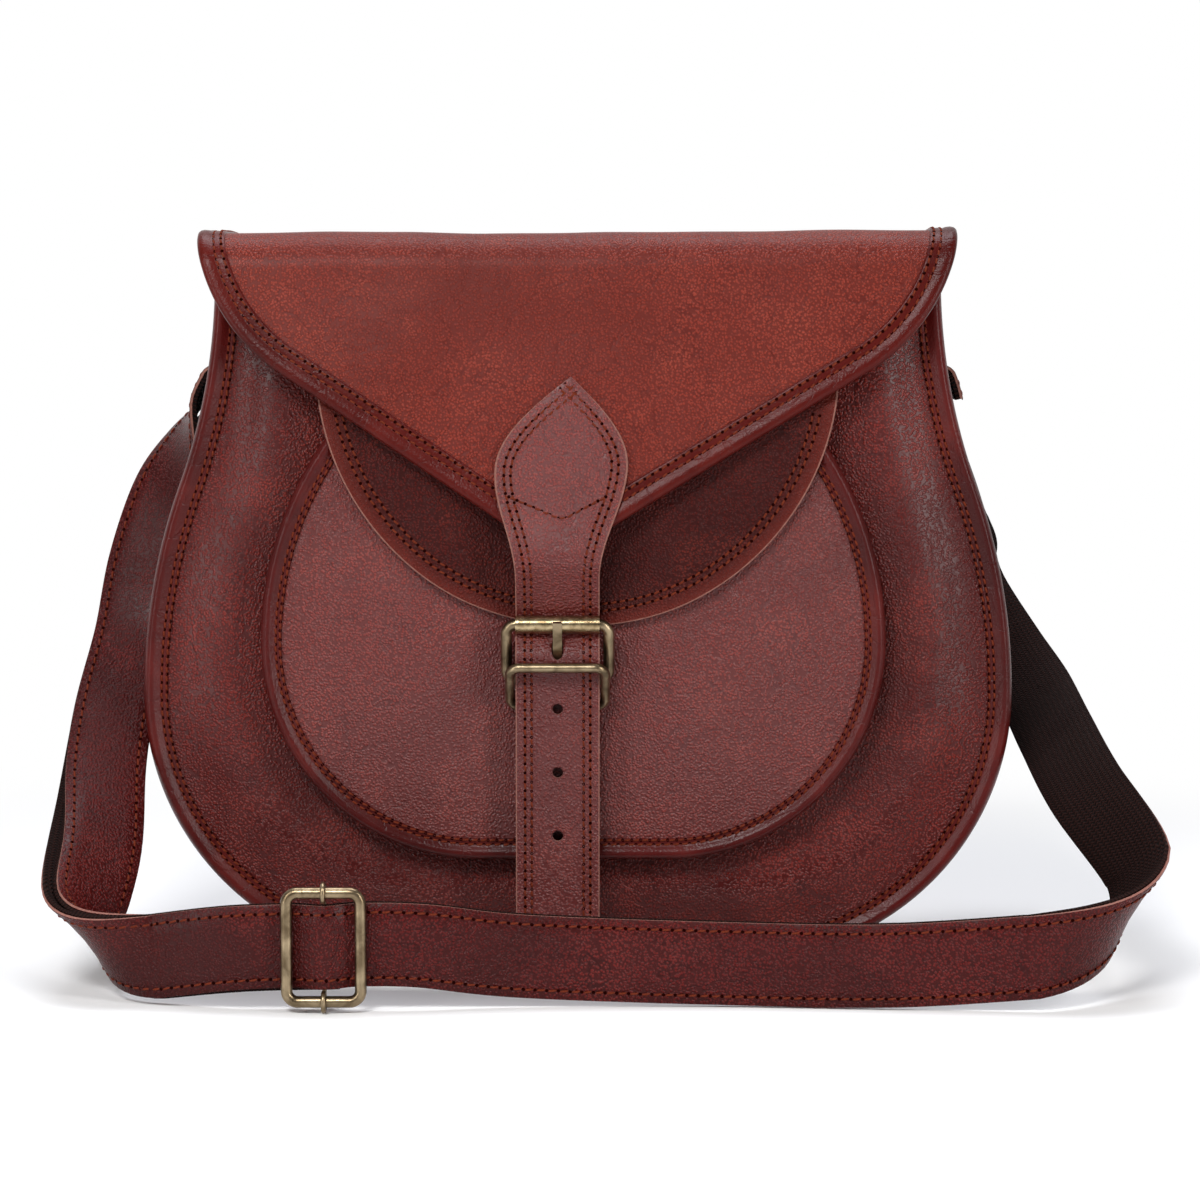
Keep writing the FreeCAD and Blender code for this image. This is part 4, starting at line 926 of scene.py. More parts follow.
def flap_swell(x, s):
    """Soft waves of the flap, held flat under the closure strap's leaf."""
    press = min(1.0, max(0.0, (PRESS_TOP - flap_line(s, 0)[1]) / PRESS_RUN))
    hold = 1 - press * press * (3 - 2 * press) * math.exp(-((x - CLOSURE_X) / PRESS_HALF) ** 4)
    ends = min(1.0, s / HINGE_HOLD) * min(1.0, max(0.0, FLAP_LENGTH - s) / TIP_HOLD)
    wave = noise.noise(Vector((x * 0.013, s * 0.018, 31))) * 1.8
    wave += noise.noise(Vector((x * 0.03, s * 0.01, 5))) * 0.7
    return wave * hold * ends


def flap_place(x, s, lift):
    """A place on the waving flap at a length from the hinge."""
    y, z = flap_line(s, lift + flap_swell(x, s))
    return (x, y, z)


def flap_normal(x, s):
    """Straight out from the flap's face."""
    y, z = flap_line(s, 0)
    y_out, z_out = flap_line(s, 1)
    return (0, y_out - y, z_out - z)


flap_path = []
SAMPLES = 130
FLAP_ACROSS = 72
for side in (-1, 1):
    half = []
    for k in range(SAMPLES + 1):
        s = FLAP_LENGTH * k / SAMPLES
        half.append((side * flap_half_at(side, flap_line(s, 0)[1]), -s))
    flap_path += half if side < 0 else half[-2::-1]


def flap_sheet(lift, thickness, inset):
    """The flap as rows from hinge to tip, as an outer and an inner skin."""
    points = []
    for depth in (lift, lift - thickness):
        for k in range(SAMPLES + 1):
            s = FLAP_LENGTH * k / SAMPLES
            z = flap_line(s, 0)[1]
            low = -flap_half_at(-1, z) + inset
            high = flap_half_at(1, z) - inset
            if high < low:
                low = high = (low + high) / 2
            for j in range(FLAP_ACROSS + 1):
                x = low + (high - low) * j / FLAP_ACROSS
                points.append(flap_place(x, s, depth))
    return points, two_skins(SAMPLES + 1, FLAP_ACROSS)


flap_leather = grain_leather("flap_leather", dye(80, 26, 19), dye(124, 49, 37), dye(138, 61, 47),
                             gloss=0.4, shine=0.14)
FLAP_TUCK = 2.0
points, faces = flap_sheet(0, LEATHER, FLAP_TUCK)
main_flap = make_piece("leather_main_flap", points, faces, [flap_leather])
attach(main_flap, "flap")
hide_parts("main_flap")
points, faces = flap_sheet(-LEATHER, CLOTH, FLAP_TUCK)
flap_lining = make_piece("suede_flap_lining", points, faces, [flap_suede])
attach(flap_lining, "flap")
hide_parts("flap_lining")

flap_stack = LEATHER + CLOTH
flap_section = [
    (FLAP_RIM, 0.0), (FLAP_RIM - 0.15, 0.6), (FLAP_RIM - 0.7, 0.85), (9.0, 0.8), (7.6, 0.9), (6.6, 0.75),
    (6.0, 0.66), (5.2, 0.85), (4.0, 1.25), (2.4, 1.4), (1.1, 1.15), (0.3, 0.5), (0.0, -0.6),
]
flap_section += [(inset, -flap_stack - lift) for inset, lift in flap_section[-2::-1]]
points, faces = sweep(flap_path, flap_section, lambda u, v, lift: flap_place(u, -v, lift))
edge_leather = grain_leather("flap_edge_leather", dye(44, 11, 9), dye(76, 22, 18), dye(95, 33, 27),
                             gloss=0.28, shine=0.11, grain=0.15)
flap_binding = make_piece("folded_flap_binding", points, faces, [edge_leather], crisp=FOLD_CRISP)
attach(flap_binding, "flap")
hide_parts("flap_binding")
FLAP_ROWS = ((6.2, 0.66), (8.9, 0.86))
rows = []
flap_steps = inward(flap_path)
for inset, lift in FLAP_ROWS:
    row = []
    for (u, v), (nu, nv) in zip(flap_path, flap_steps):
        x, s = u + nu * inset, -(v + nv * inset)
        row.append((flap_place(x, s, lift), flap_normal(x, s)))
    rows.append(row)
sew("stitches_flap_binding", rows, "flap")
ROOT_ROWS = (3.0, 6.5)
ROOT_STEP = 6.0
ROOT_STEPS = 22
STITCH_LIFT = 0.05
places = [k * ROOT_STEP for k in range(-ROOT_STEPS, ROOT_STEPS + 1)]
rows = []
for s in ROOT_ROWS:
    rows.append([(flap_place(x, s, STITCH_LIFT), flap_normal(x, s)) for x in places])
sew("stitches_flap_root", rows, "flap")

# Metalwork: an antique brass roller buckle with its prong and wire keeper, the strap's two
# rings, the tab rivets and the slider. It is cast and bent brass, clouded with tarnish, and
# the strap has rubbed the roller brighter.

brass, wire, shader = new_finish("antique_brass")
place = wire.node("ShaderNodeTexCoord", {}, {}, "Object")
tarnish = noise_at(wire, place, 160.0, 5.0, 0.6)
scuff = noise_at(wire, place, 1500.0, 3.0)
worn = tarnish.rise(0.2, 0.8).between(dye(88, 74, 56), dye(162, 144, 116))
handled = wire.node("ShaderNodeBump", {}, {"Strength": 0.12, "Distance": 0.0002, "Height": scuff})
dress(brass, shader, {"Base Color": worn, "Metallic": 1.0, "Roughness": 0.26 + scuff * 0.12,
                      "Normal": handled})
rolled_brass, wire, shader = new_finish("rolled_brass")
place = wire.node("ShaderNodeTexCoord", {}, {}, "Object")
rub = noise_at(wire, place, 420.0, 3.0)
rubbed_tone = rub.rise(0.25, 0.75).between(dye(132, 112, 82), dye(192, 172, 136))
dress(rolled_brass, shader, {"Base Color": rubbed_tone, "Metallic": 1.0, "Roughness": 0.2 + rub * 0.1})
METAL_PIECES = ("buckle_frame", "buckle_roller", "buckle_prong", "keeper_loop", "left_ring", "right_ring",
                "tab_rivets", "slider_frame", "slider_bar")
for name in METAL_PIECES:
    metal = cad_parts[name].data
    metal.materials.clear()
    metal.materials.append(rolled_brass if name == "buckle_roller" else brass)

# Buckle chape: a strap of leather folded round the buckle's heel bar and sewn to the pocket,
# with a slit in the fold for the prong.

HEEL_Z = 111
CHAPE = 1.6
CHAPE_HALF = 14.5
CHAPE_FOOT = 76
BUCKLE_WIRE = 2.1
BAR_PLAY = 0.2
BAR_ROOM = BUCKLE_WIRE + BAR_PLAY
heel_y = pocket_face - SEAM - CHAPE - BAR_ROOM
chape_outer = BAR_ROOM + CHAPE
SLIT = 2.7
SLIT_DROP = 6
LEG_STEPS = 6
FOLD_STEPS = 10


def chape_strip(low_x, high_x, top):
    """One width of the folded strap, as a solid strip; below the fold if top is lower than it."""
    loops = []
    for reach in (chape_outer, BAR_ROOM):
        rises = [CHAPE_FOOT + k * (top - CHAPE_FOOT) / LEG_STEPS for k in range(LEG_STEPS + 1)]
        line = [(heel_y + reach, z) for z in rises]
        if top >= HEEL_Z:
            turns = [math.pi * k / FOLD_STEPS for k in range(1, FOLD_STEPS)]
            line += [(heel_y + reach * math.cos(turn), HEEL_Z + reach * math.sin(turn)) for turn in turns]
        line += [(heel_y - reach, z) for z in rises[::-1]]
        loops.append(line)
    points = []
    for x in (low_x, high_x):
        for line in loops:
            points += [(x, y, z) for y, z in line]
    count = len(loops[0])
    faces = []
    skip = LEG_STEPS if top < HEEL_Z else None
    for k in range(count - 1):
        if k == skip:
            continue
        a, b, c, d = k, k + count, k + 2 * count, k + 3 * count
        faces += [(a, a + 1, c + 1, c), (b, b + 1, d + 1, d), (a, a + 1, b + 1, b), (c, c + 1, d + 1, d)]
    for k in [0, count - 1] + ([skip, skip + 1] if skip else []):
        faces.append((k, k + count, k + 3 * count, k + 2 * count))
    return points, faces


points = []
faces = []
widths = ((-CHAPE_HALF, -SLIT, HEEL_Z), (-SLIT, SLIT, HEEL_Z - SLIT_DROP), (SLIT, CHAPE_HALF, HEEL_Z))
for low_x, high_x, top in widths:
    some, some_faces = chape_strip(CLOSURE_X + low_x, CLOSURE_X + high_x, top)
    faces += [tuple(k + len(points) for k in face) for face in some_faces]
    points += some
chape = make_piece("folded_buckle_chape", points, faces, [cover_leather])
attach(chape, "bag")
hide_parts("buckle_chape")

# Closure strap: a pointed leaf sewn on the flap that narrows to a two-ply billet. It passes
# behind the roller, over the prong's base and down through the keeper, with spare holes below.

CLOSURE_HALF = 15.75
LEAF_HALF = 24.8
LEAF_TOP = 225
LEAF_WIDE = 191
LEAF_NECK = 150
CLOSURE_FOOT = 6
CLOSURE_PLY = 2.2
BUCKLE_TILT = math.radians(20.7)
BUCKLE_REACH = 23
ROLLER = 3.4
roller_y = heel_y - BUCKLE_REACH * math.sin(BUCKLE_TILT)
roller_z = HEEL_Z + BUCKLE_REACH * math.cos(BUCKLE_TILT)


def front_slope(z, lift):
    """Depth of the flap's front slope at a height."""
    return flap_line(FRONT_RUN + (front_line_z + lift * math.sin(SLOPE) - z) / math.cos(SLOPE), lift)[0]


def buckle_point(ahead, up):
    """A point in the buckle's own plane, measured from its heel bar."""
    return (heel_y - up * math.sin(BUCKLE_TILT) - ahead * math.cos(BUCKLE_TILT),
            HEEL_Z + up * math.cos(BUCKLE_TILT) - ahead * math.sin(BUCKLE_TILT))


LEAF_LIFT = BINDING + SEAM
WRAP_PLAY = 3.6
BILLET_LIFT = 0.4
SNUG_RUN = 22
BEND_EASE = 2.2
billet_y = heel_y - chape_outer - BILLET_LIFT
closure_stops = [
    (front_slope(TIP_Z, LEAF_LIFT), TIP_Z), (roller_y + ROLLER + WRAP_PLAY, roller_z),
    buckle_point(5.5, 12.5), buckle_point(5.2, -1.5), (billet_y, CHAPE_FOOT), (billet_y, CLOSURE_FOOT - 5),
]


def closure_y(z):
    """Depth of the strap's back face: on the flap, then through the buckle and down."""
    if z >= TIP_Z:
        snug = min(1.0, (z - TIP_Z) / SNUG_RUN)
        return front_slope(z, LEAF_LIFT - BINDING * snug * snug * (3 - 2 * snug))
    for (y, high), (y_after, low) in zip(closure_stops, closure_stops[1:]):
        if low <= z <= high:
            t = (high - z) / (high - low)
            return y + (y_after - y) * t
    return closure_stops[-1][0]


def soft_closure_y(z):
    """The same depth with its bends eased."""
    weights = [(k, math.exp(-k * k / 2)) for k in (-2, -1.5, -1, -0.5, 0, 0.5, 1, 1.5, 2)]
    return sum(closure_y(z + k * BEND_EASE) * w for k, w in weights) / sum(w for k, w in weights)


LEAF_LEAN = 5


def leaf_half(z):
    """Half width of the strap at a height: pointed cap, waist, straight billet and round toe."""
    if z >= LEAF_WIDE:
        return LEAF_HALF * math.sin(math.pi / 2 * (LEAF_TOP - z) / (LEAF_TOP - LEAF_WIDE))
    if z >= LEAF_NECK:
        t = (z - LEAF_NECK) / (LEAF_WIDE - LEAF_NECK)
        return CLOSURE_HALF + (LEAF_HALF - CLOSURE_HALF) * (0.5 - 0.5 * math.cos(math.pi * t))
    toe = max(0.0, CLOSURE_FOOT + CLOSURE_HALF - z)
    return math.sqrt(max(0.0, CLOSURE_HALF ** 2 - toe ** 2))


def leaf_middle(z):
    """The leaf leans a little to the right of the billet."""
    t = min(1.0, max(0.0, (z - LEAF_NECK) / (LEAF_TOP - LEAF_NECK)))
    return CLOSURE_X + LEAF_LEAN * t * t


CAP_STEPS = 24
BILLET_STEPS = 84
BILLET_STEP = 2
TOE_STEPS = 16
heights = [LEAF_TOP - (LEAF_TOP - LEAF_WIDE) * (k / CAP_STEPS) ** 1.5 for k in range(CAP_STEPS)]
heights += [LEAF_WIDE - k * BILLET_STEP for k in range(BILLET_STEPS)]
toe_top = CLOSURE_FOOT + CLOSURE_HALF
heights += [toe_top - CLOSURE_HALF * math.sin(math.pi / 2 * k / TOE_STEPS) for k in range(TOE_STEPS + 1)]
heights = sorted({round(z, 3) for z in heights}, reverse=True)
leaf_path = [(leaf_middle(z) - leaf_half(z), z) for z in heights]
leaf_path += [(leaf_middle(z) + leaf_half(z), z) for z in heights[-2:0:-1]]
closure_leather = grain_leather("closure_leather", dye(74, 22, 20), dye(116, 41, 35), dye(132, 55, 47),
                                gloss=0.38, shine=0.48)
ACROSS = 20
OVER_REACH = 1.08
CUT_SHARE = 0.975
CROWN = 0.25
points = []
for depth in (-CLOSURE_PLY, 0.0):
    for z in heights:
        half = leaf_half(z)
        y = soft_closure_y(z)
        for j in range(ACROSS + 1):
            share = max(-1.0, min(1.0, (2 * j / ACROSS - 1) * OVER_REACH))
            if 0 < j < ACROSS and abs(share) > CUT_SHARE:
                share = math.copysign(CUT_SHARE, share)
            crown = CROWN * (1 - share * share) if depth < 0 else 0.0
            points.append((leaf_middle(z) + half * share, y + depth - crown, z))
faces = two_skins(len(heights), ACROSS)
kinds = []
for kind in (0, 2):
    kinds += ([1] + [kind] * (ACROSS - 2) + [1]) * (len(heights) - 1)
kinds += [1] * (len(faces) - len(kinds))
closure = make_piece("leather_closure_strap", points, faces, [closure_leather, cut_edge, flap_suede],
                     finish_of=kinds)

HOLE_FIRST = 100.5
HOLE_PITCH = 24
HOLE_RADIUS = 2.0
SLOT_Z = 123.2
SLOT_HALF = 2.3
SLOT_TALL = 1.65
PUNCH_SIDES = 20
PUNCH_AHEAD = 12
PUNCH_BEHIND = 10
SPARE_HOLES = 3
punched = [(SLOT_Z, SLOT_HALF, SLOT_TALL)]
punched += [(HOLE_FIRST - k * HOLE_PITCH, HOLE_RADIUS, 1.0) for k in range(SPARE_HOLES)]
punch_points = []
punch_faces = []
for z, radius, tall in punched:
    base = len(punch_points)
    middle = soft_closure_y(z)
    for y in (middle - PUNCH_AHEAD, middle + PUNCH_BEHIND):
        for k in range(PUNCH_SIDES):
            angle = 2 * math.pi * k / PUNCH_SIDES
            wide = radius * math.cos(angle)
            punch_points.append((CLOSURE_X + wide, y, z + radius * tall * math.sin(angle)))
    far_end = base + PUNCH_SIDES
    punch_faces.append(tuple(base + k for k in range(PUNCH_SIDES)))
    punch_faces.append(tuple(far_end + k for k in range(PUNCH_SIDES)))
    for k in range(PUNCH_SIDES):
        after = (k + 1) % PUNCH_SIDES
        punch_faces.append((base + k, base + after, far_end + after, far_end + k))
punch = make_piece("punch", punch_points, punch_faces, [cut_edge])
cutter = closure.modifiers.new("holes", "BOOLEAN")
cutter.operation = "DIFFERENCE"
cutter.object = punch
cutter.solver = "EXACT"
bpy.context.view_layer.update()
pierced = bpy.data.meshes.new_from_object(closure.evaluated_get(bpy.context.evaluated_depsgraph_get()))
closure.modifiers.clear()
closure.data = pierced
bpy.data.objects.remove(punch)
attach(closure, "flap")
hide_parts("closure_strap", "closure_strap_backing")

leaf_steps = inward(leaf_path, closed=True)
CLOSURE_ROWS = (3.5, 6.0)
CROSS_STOPS = ((-25.5, 180.5), (-5.6, 172.0), (10.6, 180.5))
CROSS_STEPS = 10
ROW_LIFT = 0.12
CROSS_LIFT = 0.2
rows = []
for inset in CLOSURE_ROWS:
    row = []
    for (u, v), (nu, nv) in zip(leaf_path, leaf_steps):
        x, z = u + nu * inset, v + nv * inset
        row.append(((x, soft_closure_y(z) - CLOSURE_PLY - ROW_LIFT, z), (0, -1, 0)))
    rows.append(row)
cross_row = []
for (u, v), (u_after, v_after) in zip(CROSS_STOPS, CROSS_STOPS[1:]):
    for k in range(CROSS_STEPS + 1):
        x = u + (u_after - u) * k / CROSS_STEPS
        z = v + (v_after - v) * k / CROSS_STEPS
        cross_row.append(((x, soft_closure_y(z) - CLOSURE_PLY - CROSS_LIFT, z), (0, -1, 0)))
rows.append(cross_row)
sew("stitches_closure_strap", rows, "flap")

# Strap tabs: a loop of thick leather on each side near the neck, which holds a ring. It is
# folded round the ring's bar, sewn along its edges and riveted through the gusset.

RING_Z = 240
RING_Y = 45
RING_WIRE = 2
TAB = 2
TAB_HALF = 14
TAB_TOP = 258
TAB_TURNS = 12
TAB_SHARES = [-1.0, -0.97, -0.5, 0.0, 0.5, 0.97, 1.0]
TAB_EASED = 0.18
TAB_ROW = 0.8
ROW_END = 2
neck_run = BODY_HALF - NECK_HALF
neck_rise = BODY_HEIGHT - CORNER
neck_side = (neck_run ** 2 + neck_rise ** 2) / (4 * neck_run)
gusset_x = NECK_HALF + neck_side - math.sqrt((neck_side + GUSSET_INSET) ** 2 - (BODY_HEIGHT - RING_Z) ** 2)
tab_bore = RING_WIRE + BAR_PLAY
tab_outer = tab_bore + TAB
bar_x = gusset_x + SEAM + tab_outer
for side, name in ((-1, "left_strap_tab"), (1, "right_strap_tab")):
    middle = side * bar_x
    outline = []
    for reach in (tab_outer, tab_bore):
        steps = range(LEG_STEPS + 1)
        line = [(middle - side * reach, TAB_TOP - k * (TAB_TOP - RING_Z) / LEG_STEPS) for k in steps]
        turns = [math.pi * k / TAB_TURNS for k in range(1, TAB_TURNS)]
        line += [(middle - side * reach * math.cos(turn), RING_Z - reach * math.sin(turn)) for turn in turns]
        line += [(middle + side * reach, RING_Z + k * (TAB_TOP - RING_Z) / LEG_STEPS) for k in steps]
        outline.append(line)
    count = len(outline[0])
    points = []
    for share in TAB_SHARES:
        thin = TAB_EASED if abs(share) == 1 else 0.0
        for line, pull in ((outline[0], -thin), (outline[1], thin)):
            for x, z in line:
                out = Vector((x - middle, min(0, z - RING_Z))).normalized()
                points.append((x + out[0] * pull, RING_Y + TAB_HALF * share, z + out[1] * pull))
    faces = []
    ring = 2 * count
    for k in range(len(TAB_SHARES) - 1):
        base = k * ring
        for start in (0, count):
            for j in range(count - 1):
                a = base + start + j
                faces.append((a, a + 1, a + ring + 1, a + ring))
        for j in (0, count - 1):
            faces.append((base + j, base + count + j, base + ring + count + j, base + ring + j))
    for base in (0, (len(TAB_SHARES) - 1) * ring):
        for j in range(count - 1):
            faces.append((base + j, base + j + 1, base + count + j + 1, base + count + j))
    tab = make_piece("leather_" + name, points, faces, [body_leather])
    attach(tab, "bag")
    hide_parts(name)
    face_x = middle + side * tab_outer
    rows = []
    for share in (-TAB_ROW, TAB_ROW):
        rows.append([((face_x, RING_Y + TAB_HALF * share, z), (side, 0, 0))
                     for z in (RING_Z + ROW_END, TAB_TOP - ROW_END)])
    sew("stitches_" + name, rows, "bag")

# Shoulder strap: a leather facing sewn on woven webbing. From the right ring it falls behind
# the bag, folds over on the floor, crosses the front and climbs to the left ring, where it
# turns back on itself to the slider.

STRAP_HALF = 15
STRAP_PLY = 1.5
WEB_PLY = 1.6
FRONT_REACH = 98
SLIDER_X = -90
SLIDER_LIFT = 23.9
EDGE_LIFT = 1
FLOOR_LIFT = STRAP_HALF + EDGE_LIFT
WEAVE = 4.8
WEAVE_SPAN = 7
RING_REACH = 19
WRAP_GAP = 0.3
RING_LEAN = 25
lean = math.radians(RING_LEAN)
loop_x = bar_x + RING_REACH * math.sin(lean)
loop_z = RING_Z - RING_REACH * math.cos(lean)
strap_stack = STRAP_PLY + WEB_PLY
wrap = RING_WIRE + WRAP_GAP + strap_stack / 2
UP = Vector((0, 0, 1))
BACK = Vector((0, 1, 0))


def roll_over(start, heading, crease, radius, turn, steps):
    """Wrap the flat strap backwards round a slanting crease: centres and widths."""
    crease = Vector(crease).normalized()
    heading = Vector(heading)
    slide = heading.dot(crease)
    across = (heading - crease * slide).length
    spin = 1 if crease.cross(heading).y > 0 else -1
    hub = start + Vector((0, radius, 0))
    stations = []
    for step in range(steps + 1):
        angle = turn * step / steps
        swing = Quaternion(crease, spin * angle)
        centre = hub + swing @ (start - hub) + crease * (slide * radius * angle / across)
        stations.append((centre, swing @ UP))
    return stations


def ease(stations, steps):
    """A smooth run through listed centres and widths."""
    padded = [stations[0]] + list(stations) + [stations[-1]]
    result = []
    for before, start, end, after in zip(padded, padded[1:], padded[2:], padded[3:]):
        for step in range(steps):
            t = step / steps
            pair = []
            for a, b, c, d in zip(before, start, end, after):
                pair.append((b * 2 + (c - a) * t + (a * 2 - b * 5 + c * 4 - d) * (t * t)
                             + (b * 3 - a - c * 3 + d) * (t * t * t)) * 0.5)
            result.append(tuple(pair))
    result.append(stations[-1])
    return result


def beside_bar(side, across, down):
    """A point by a ring's free bar: across the ring's plane and further along its lean."""
    out = Vector((side * math.cos(lean), 0, math.sin(lean)))
    fall = Vector((side * math.sin(lean), 0, -math.cos(lean)))
    return Vector((side * loop_x, RING_Y, loop_z)) + out * across + fall * down


def over_bar(side, steps):
    """The half turn over a ring's free bar, from its inner face to its outer face."""
    turns = [math.pi * k / steps for k in range(1, steps + 1)]
    return [(beside_bar(side, -wrap * math.cos(turn), -wrap * math.sin(turn)), BACK) for turn in turns]


def off_bar(side, out, back, drop):
    """A point near a ring, measured from the middle of its free bar."""
    return Vector((side * (loop_x + out), RING_Y + back, loop_z - drop))


def beside_body(side, out, y, share):
    """A point beside the body, out from its widest line and up by a share of the rings' height."""
    return Vector((side * (BODY_HALF + out), y, share * RING_Z))


def lie(x, y, z):
    """A place or a direction in the bag's own axes."""
    return Vector((x, y, z))


ROLL_STEPS = 16
RIGHT_REACH = 163
RIGHT_LIFT = 4
RIGHT_BEND = 26
RIGHT_TURN = 2.0
LEFT_REACH = 152
LEFT_LIFT = 2
LEFT_BACK = 12
LEFT_BEND = 18
LEFT_TURN = 2.2
SLIDER_STEP = 32
SLIDER_AHEAD = 2
front_right = lie(RIGHT_REACH, -FRONT_REACH, FLOOR_LIFT + RIGHT_LIFT)
front_left = lie(-LEFT_REACH, LEFT_BACK - FRONT_REACH, FLOOR_LIFT + LEFT_LIFT)
right_roll = roll_over(front_right, (0.985, 0, 0.17), (0.51, 0, 0.86), RIGHT_BEND, RIGHT_TURN, ROLL_STEPS)
left_roll = roll_over(front_left, (-1, 0, 0), (-0.63, 0, 0.775), LEFT_BEND, LEFT_TURN, ROLL_STEPS)
slider_y = -FRONT_REACH - SLIDER_AHEAD
front_path = [
    (lie(112, 5 - FRONT_REACH, FLOOR_LIFT), UP), (lie(50, 10 - FRONT_REACH, FLOOR_LIFT), UP),
    (lie(-20, 8 - FRONT_REACH, FLOOR_LIFT + 3), UP),
    (lie(SLIDER_X + SLIDER_STEP, slider_y + WEAVE, SLIDER_LIFT), UP),
    (lie(SLIDER_X, slider_y + WEAVE, SLIDER_LIFT), UP),
    (lie(SLIDER_X - SLIDER_STEP, slider_y + WEAVE, SLIDER_LIFT - 1), UP),
]
LEG_START = 12
right_leg = [
    (beside_bar(1, -wrap, 0), BACK), (beside_bar(1, -wrap, LEG_START), BACK),
    (off_bar(1, 5.8, 3, 23.8), BACK), (off_bar(1, 13.8, 13, 42.8), lie(0.03, 1, 0)),
    (beside_body(1, -2.6, back_face + 9, 0.667), lie(-0.05, 0.97, 0.2)),
    (beside_body(1, -2, back_face + 30.6, 0.575), lie(0.6, 0.7, 0.35)),
    (beside_body(1, 9, back_face + 20.6, 0.47), lie(0.75, 0.45, 0.45)),
    (beside_body(1, 17.6, back_face - 8.4, 0.4), lie(0.8, 0.2, 0.5)),
    (beside_body(1, 20.2, 22, 0.354), lie(0.82, 0, 0.53)),
    (beside_body(1, 25, -25, 0.293), lie(0.82, -0.15, 0.52)),
]
left_leg = [
    (beside_body(-1, 16.2, -18, 0.258), lie(-0.95, -0.2, 0.2)),
    (beside_body(-1, 13.6, 14, 0.392), lie(-0.97, 0, 0.2)),
    (beside_body(-1, 8.3, 35, 0.508), lie(-0.97, 0.1, 0.2)),
    (beside_body(-1, 4, 47, 0.625), lie(-0.95, 0.3, 0.25)),
    (off_bar(-1, 20, 6, 46.8), lie(-0.85, 0.45, 0.3)), (off_bar(-1, 9.3, 3, 26.8), lie(-0.45, 0.85, 0.2)),
    (beside_bar(-1, -wrap, LEG_START), BACK), (beside_bar(-1, -wrap, 0), BACK),
]


def framed(path):
    """Square each width to its heading and add the normal on the webbing side."""
    result = []
    for k, (centre, width) in enumerate(path):
        heading = (path[min(k + 1, len(path) - 1)][0] - path[max(k - 1, 0)][0]).normalized()
        width = (width - heading * width.dot(heading)).normalized()
        result.append((centre, width, heading.cross(width)))
    return result


def weave_through(path):
    """Bring the strap forward over the slider's centre bar."""
    result = []
    for centre, width in path:
        bump = math.exp(-((centre.x - SLIDER_X) / WEAVE_SPAN) ** 2) if centre.y < pocket_face else 0.0
        result.append((centre - BACK * (WEAVE * bump), width))
    return result


RETURN_GAP = 0.6
SKEW = 4.5
SKEW_Z = 46
SKEW_SPAN = 20
return_lift = strap_stack + RETURN_GAP


def second_layer(path, towards, spread):
    """A layer on the webbing side that opens out at the ring's bar and lies askew below it."""
    layer = []
    for centre, width, normal in framed(path):
        near = math.exp(-((centre - towards).length / spread) ** 2)
        slip = SKEW * math.exp(-((centre.z - SKEW_Z) / SKEW_SPAN) ** 2)
        lift = return_lift + (2 * wrap - return_lift) * near
        layer.append((centre + normal * lift - width * slip, width))
    return layer


STEPS = 10
LEAD_STEPS = 6
TAIL_STEPS = 9
BEND_STEPS = 12
SPREAD = 30
TAIL_SPREAD = 14
RETURN_START = 5
right_join = [right_roll[-1], right_roll[-1 - LEAD_STEPS]]
left_join = [left_roll[-1 - LEAD_STEPS], left_roll[-1]]
right_part = ease(right_leg + right_join, STEPS)[:-STEPS - 1] + right_roll[::-1][:-1]
front_part = ease([right_roll[0]] + front_path + [left_roll[0]], STEPS * 2)[:-1]
left_part = left_roll[:-1] + ease(left_join + left_leg, STEPS)[STEPS:]
doubled = [station for station in front_part if station[0].x < SLIDER_X + RETURN_START] + left_part
back_layer = second_layer(doubled, beside_bar(-1, -wrap, 0), SPREAD)[::-1]
right_tail = second_layer(right_part[:TAIL_STEPS], beside_bar(1, -wrap, 0), TAIL_SPREAD)[::-1]
woven_part = weave_through(right_part + front_part + left_part)
strap_run = framed(right_tail[:-1] + over_bar(1, BEND_STEPS)[::-1] + woven_part
                   + over_bar(-1, BEND_STEPS)[:-1] + back_layer)
EASED = 0.3
EASED_RISE = 0.25


def strap_layer(low, high, half):
    """A flat strip along the run between two lifts, with eased long edges and a woven map."""
    inner = half - EASED
    section = [
        (-half, low + EASED_RISE), (-inner, low), (-half * 0.5, low), (0, low),
        (half * 0.5, low), (inner, low), (half, low + EASED_RISE),
        (half, high - EASED_RISE), (inner, high), (half * 0.5, high), (0, high),
        (-half * 0.5, high), (-inner, high), (-half, high - EASED_RISE),
    ]
    kinds_of = [0] * 6 + [1] + [0] * 6 + [1]
    points = []
    weave = []
    faces = []
    kinds = []
    travelled = 0.0
    count = len(section)
    for k, (centre, width, normal) in enumerate(strap_run):
        if k:
            travelled += (centre - strap_run[k - 1][0]).length
        for across, lift in section:
            points.append(tuple(centre + width * across + normal * lift))
            weave.append((across * MM, travelled * MM))
    for k in range(len(strap_run) - 1):
        for j in range(count):
            a = k * count + j
            b = k * count + (j + 1) % count
            faces.append((a, b, b + count, a + count))
            kinds.append(kinds_of[j])
    faces.append(tuple(range(count)))
    faces.append(tuple((len(strap_run) - 1) * count + j for j in range(count)))
    return points, faces, kinds + [1, 1], weave


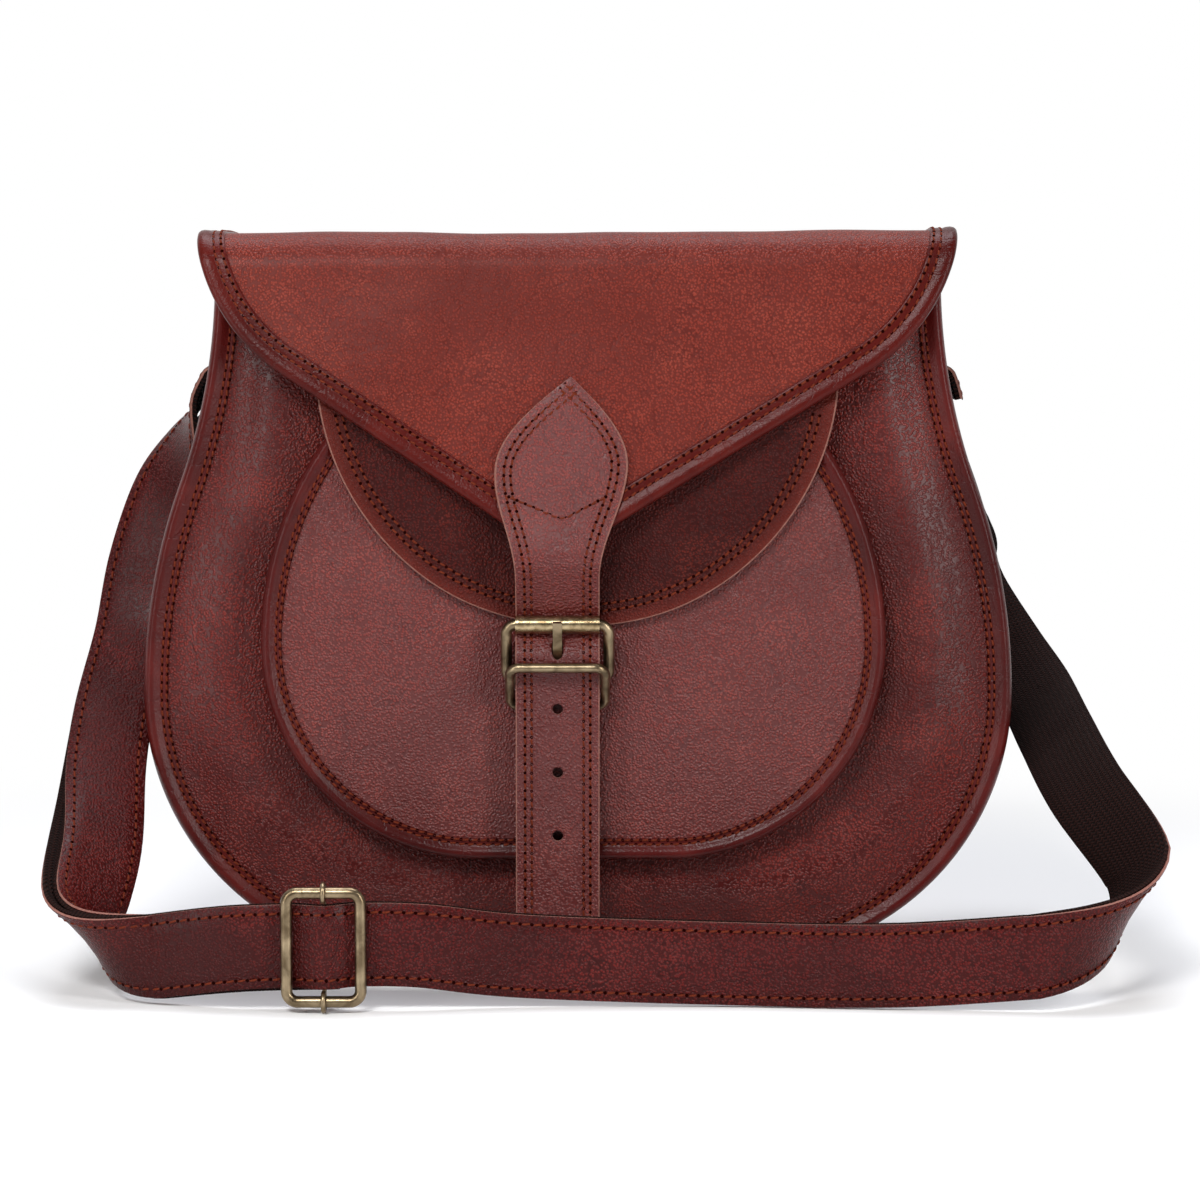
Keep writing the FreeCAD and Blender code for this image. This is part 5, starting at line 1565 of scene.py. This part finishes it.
strap_leather = grain_leather("strap_leather", dye(48, 12, 11), dye(88, 25, 23), dye(106, 38, 34),
                              gloss=0.3, shine=0.14)
web_cloth, wire, shader = new_finish("strap_webbing")
thread_map = wire.node("ShaderNodeUVMap", {"uv_map": "weave"}, {})
parts = wire.node("ShaderNodeSeparateXYZ", {}, {0: thread_map})
u = Wire(wire.tree, parts.socket.node.outputs[0])
v = Wire(wire.tree, parts.socket.node.outputs[1])
rib = (u * 3000).wave()
pick = (v * 4200 + rib * 1.4).wave()
cord = pick * 0.7 + rib * 0.3
fuzz = noise_at(wire, thread_map, 900.0, 3.0)
tone = (cord * 0.4 + fuzz * 0.3 + 0.25).between(dye(9, 4, 4), dye(46, 25, 21))
ribbed = wire.node("ShaderNodeBump", {}, {"Strength": 0.8, "Distance": 0.0005, "Height": cord + fuzz * 0.4})
dress(web_cloth, shader, {"Base Color": tone, "Roughness": 0.8, "Specular IOR Level": 0.1, "Normal": ribbed})
raw_edge = cut_fibre("strap_raw_edge", 600.0, dye(96, 54, 46), dye(150, 104, 92))
PLY_GAP = 0.1
WEB_EDGE = 0.3
half_strap = strap_stack / 2
points, faces, kinds, weave = strap_layer(-half_strap, -half_strap + STRAP_PLY - PLY_GAP, STRAP_HALF)
facing = make_piece("leather_shoulder_strap", points, faces, [strap_leather, raw_edge],
                    finish_of=kinds, weave=weave)
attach(facing, "shoulder_strap")
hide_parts("strap_leather")
points, faces, kinds, weave = strap_layer(-half_strap + STRAP_PLY, half_strap, STRAP_HALF + WEB_EDGE)
webbing = make_piece("woven_strap_webbing", points, faces, [web_cloth], weave=weave)
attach(webbing, "shoulder_strap")
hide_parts("strap_webbing")
STITCH_INSET = 3.2
STRAP_ROW = STRAP_HALF - STITCH_INSET
STRAP_STITCH = 4.2
rows = []
for across in (-STRAP_ROW, STRAP_ROW):
    rows.append([(tuple(centre + width * across - normal * (half_strap + STITCH_LIFT)), tuple(-normal))
                 for centre, width, normal in strap_run])
sew("stitches_shoulder_strap", rows, "shoulder_strap", pitch=STRAP_STITCH)
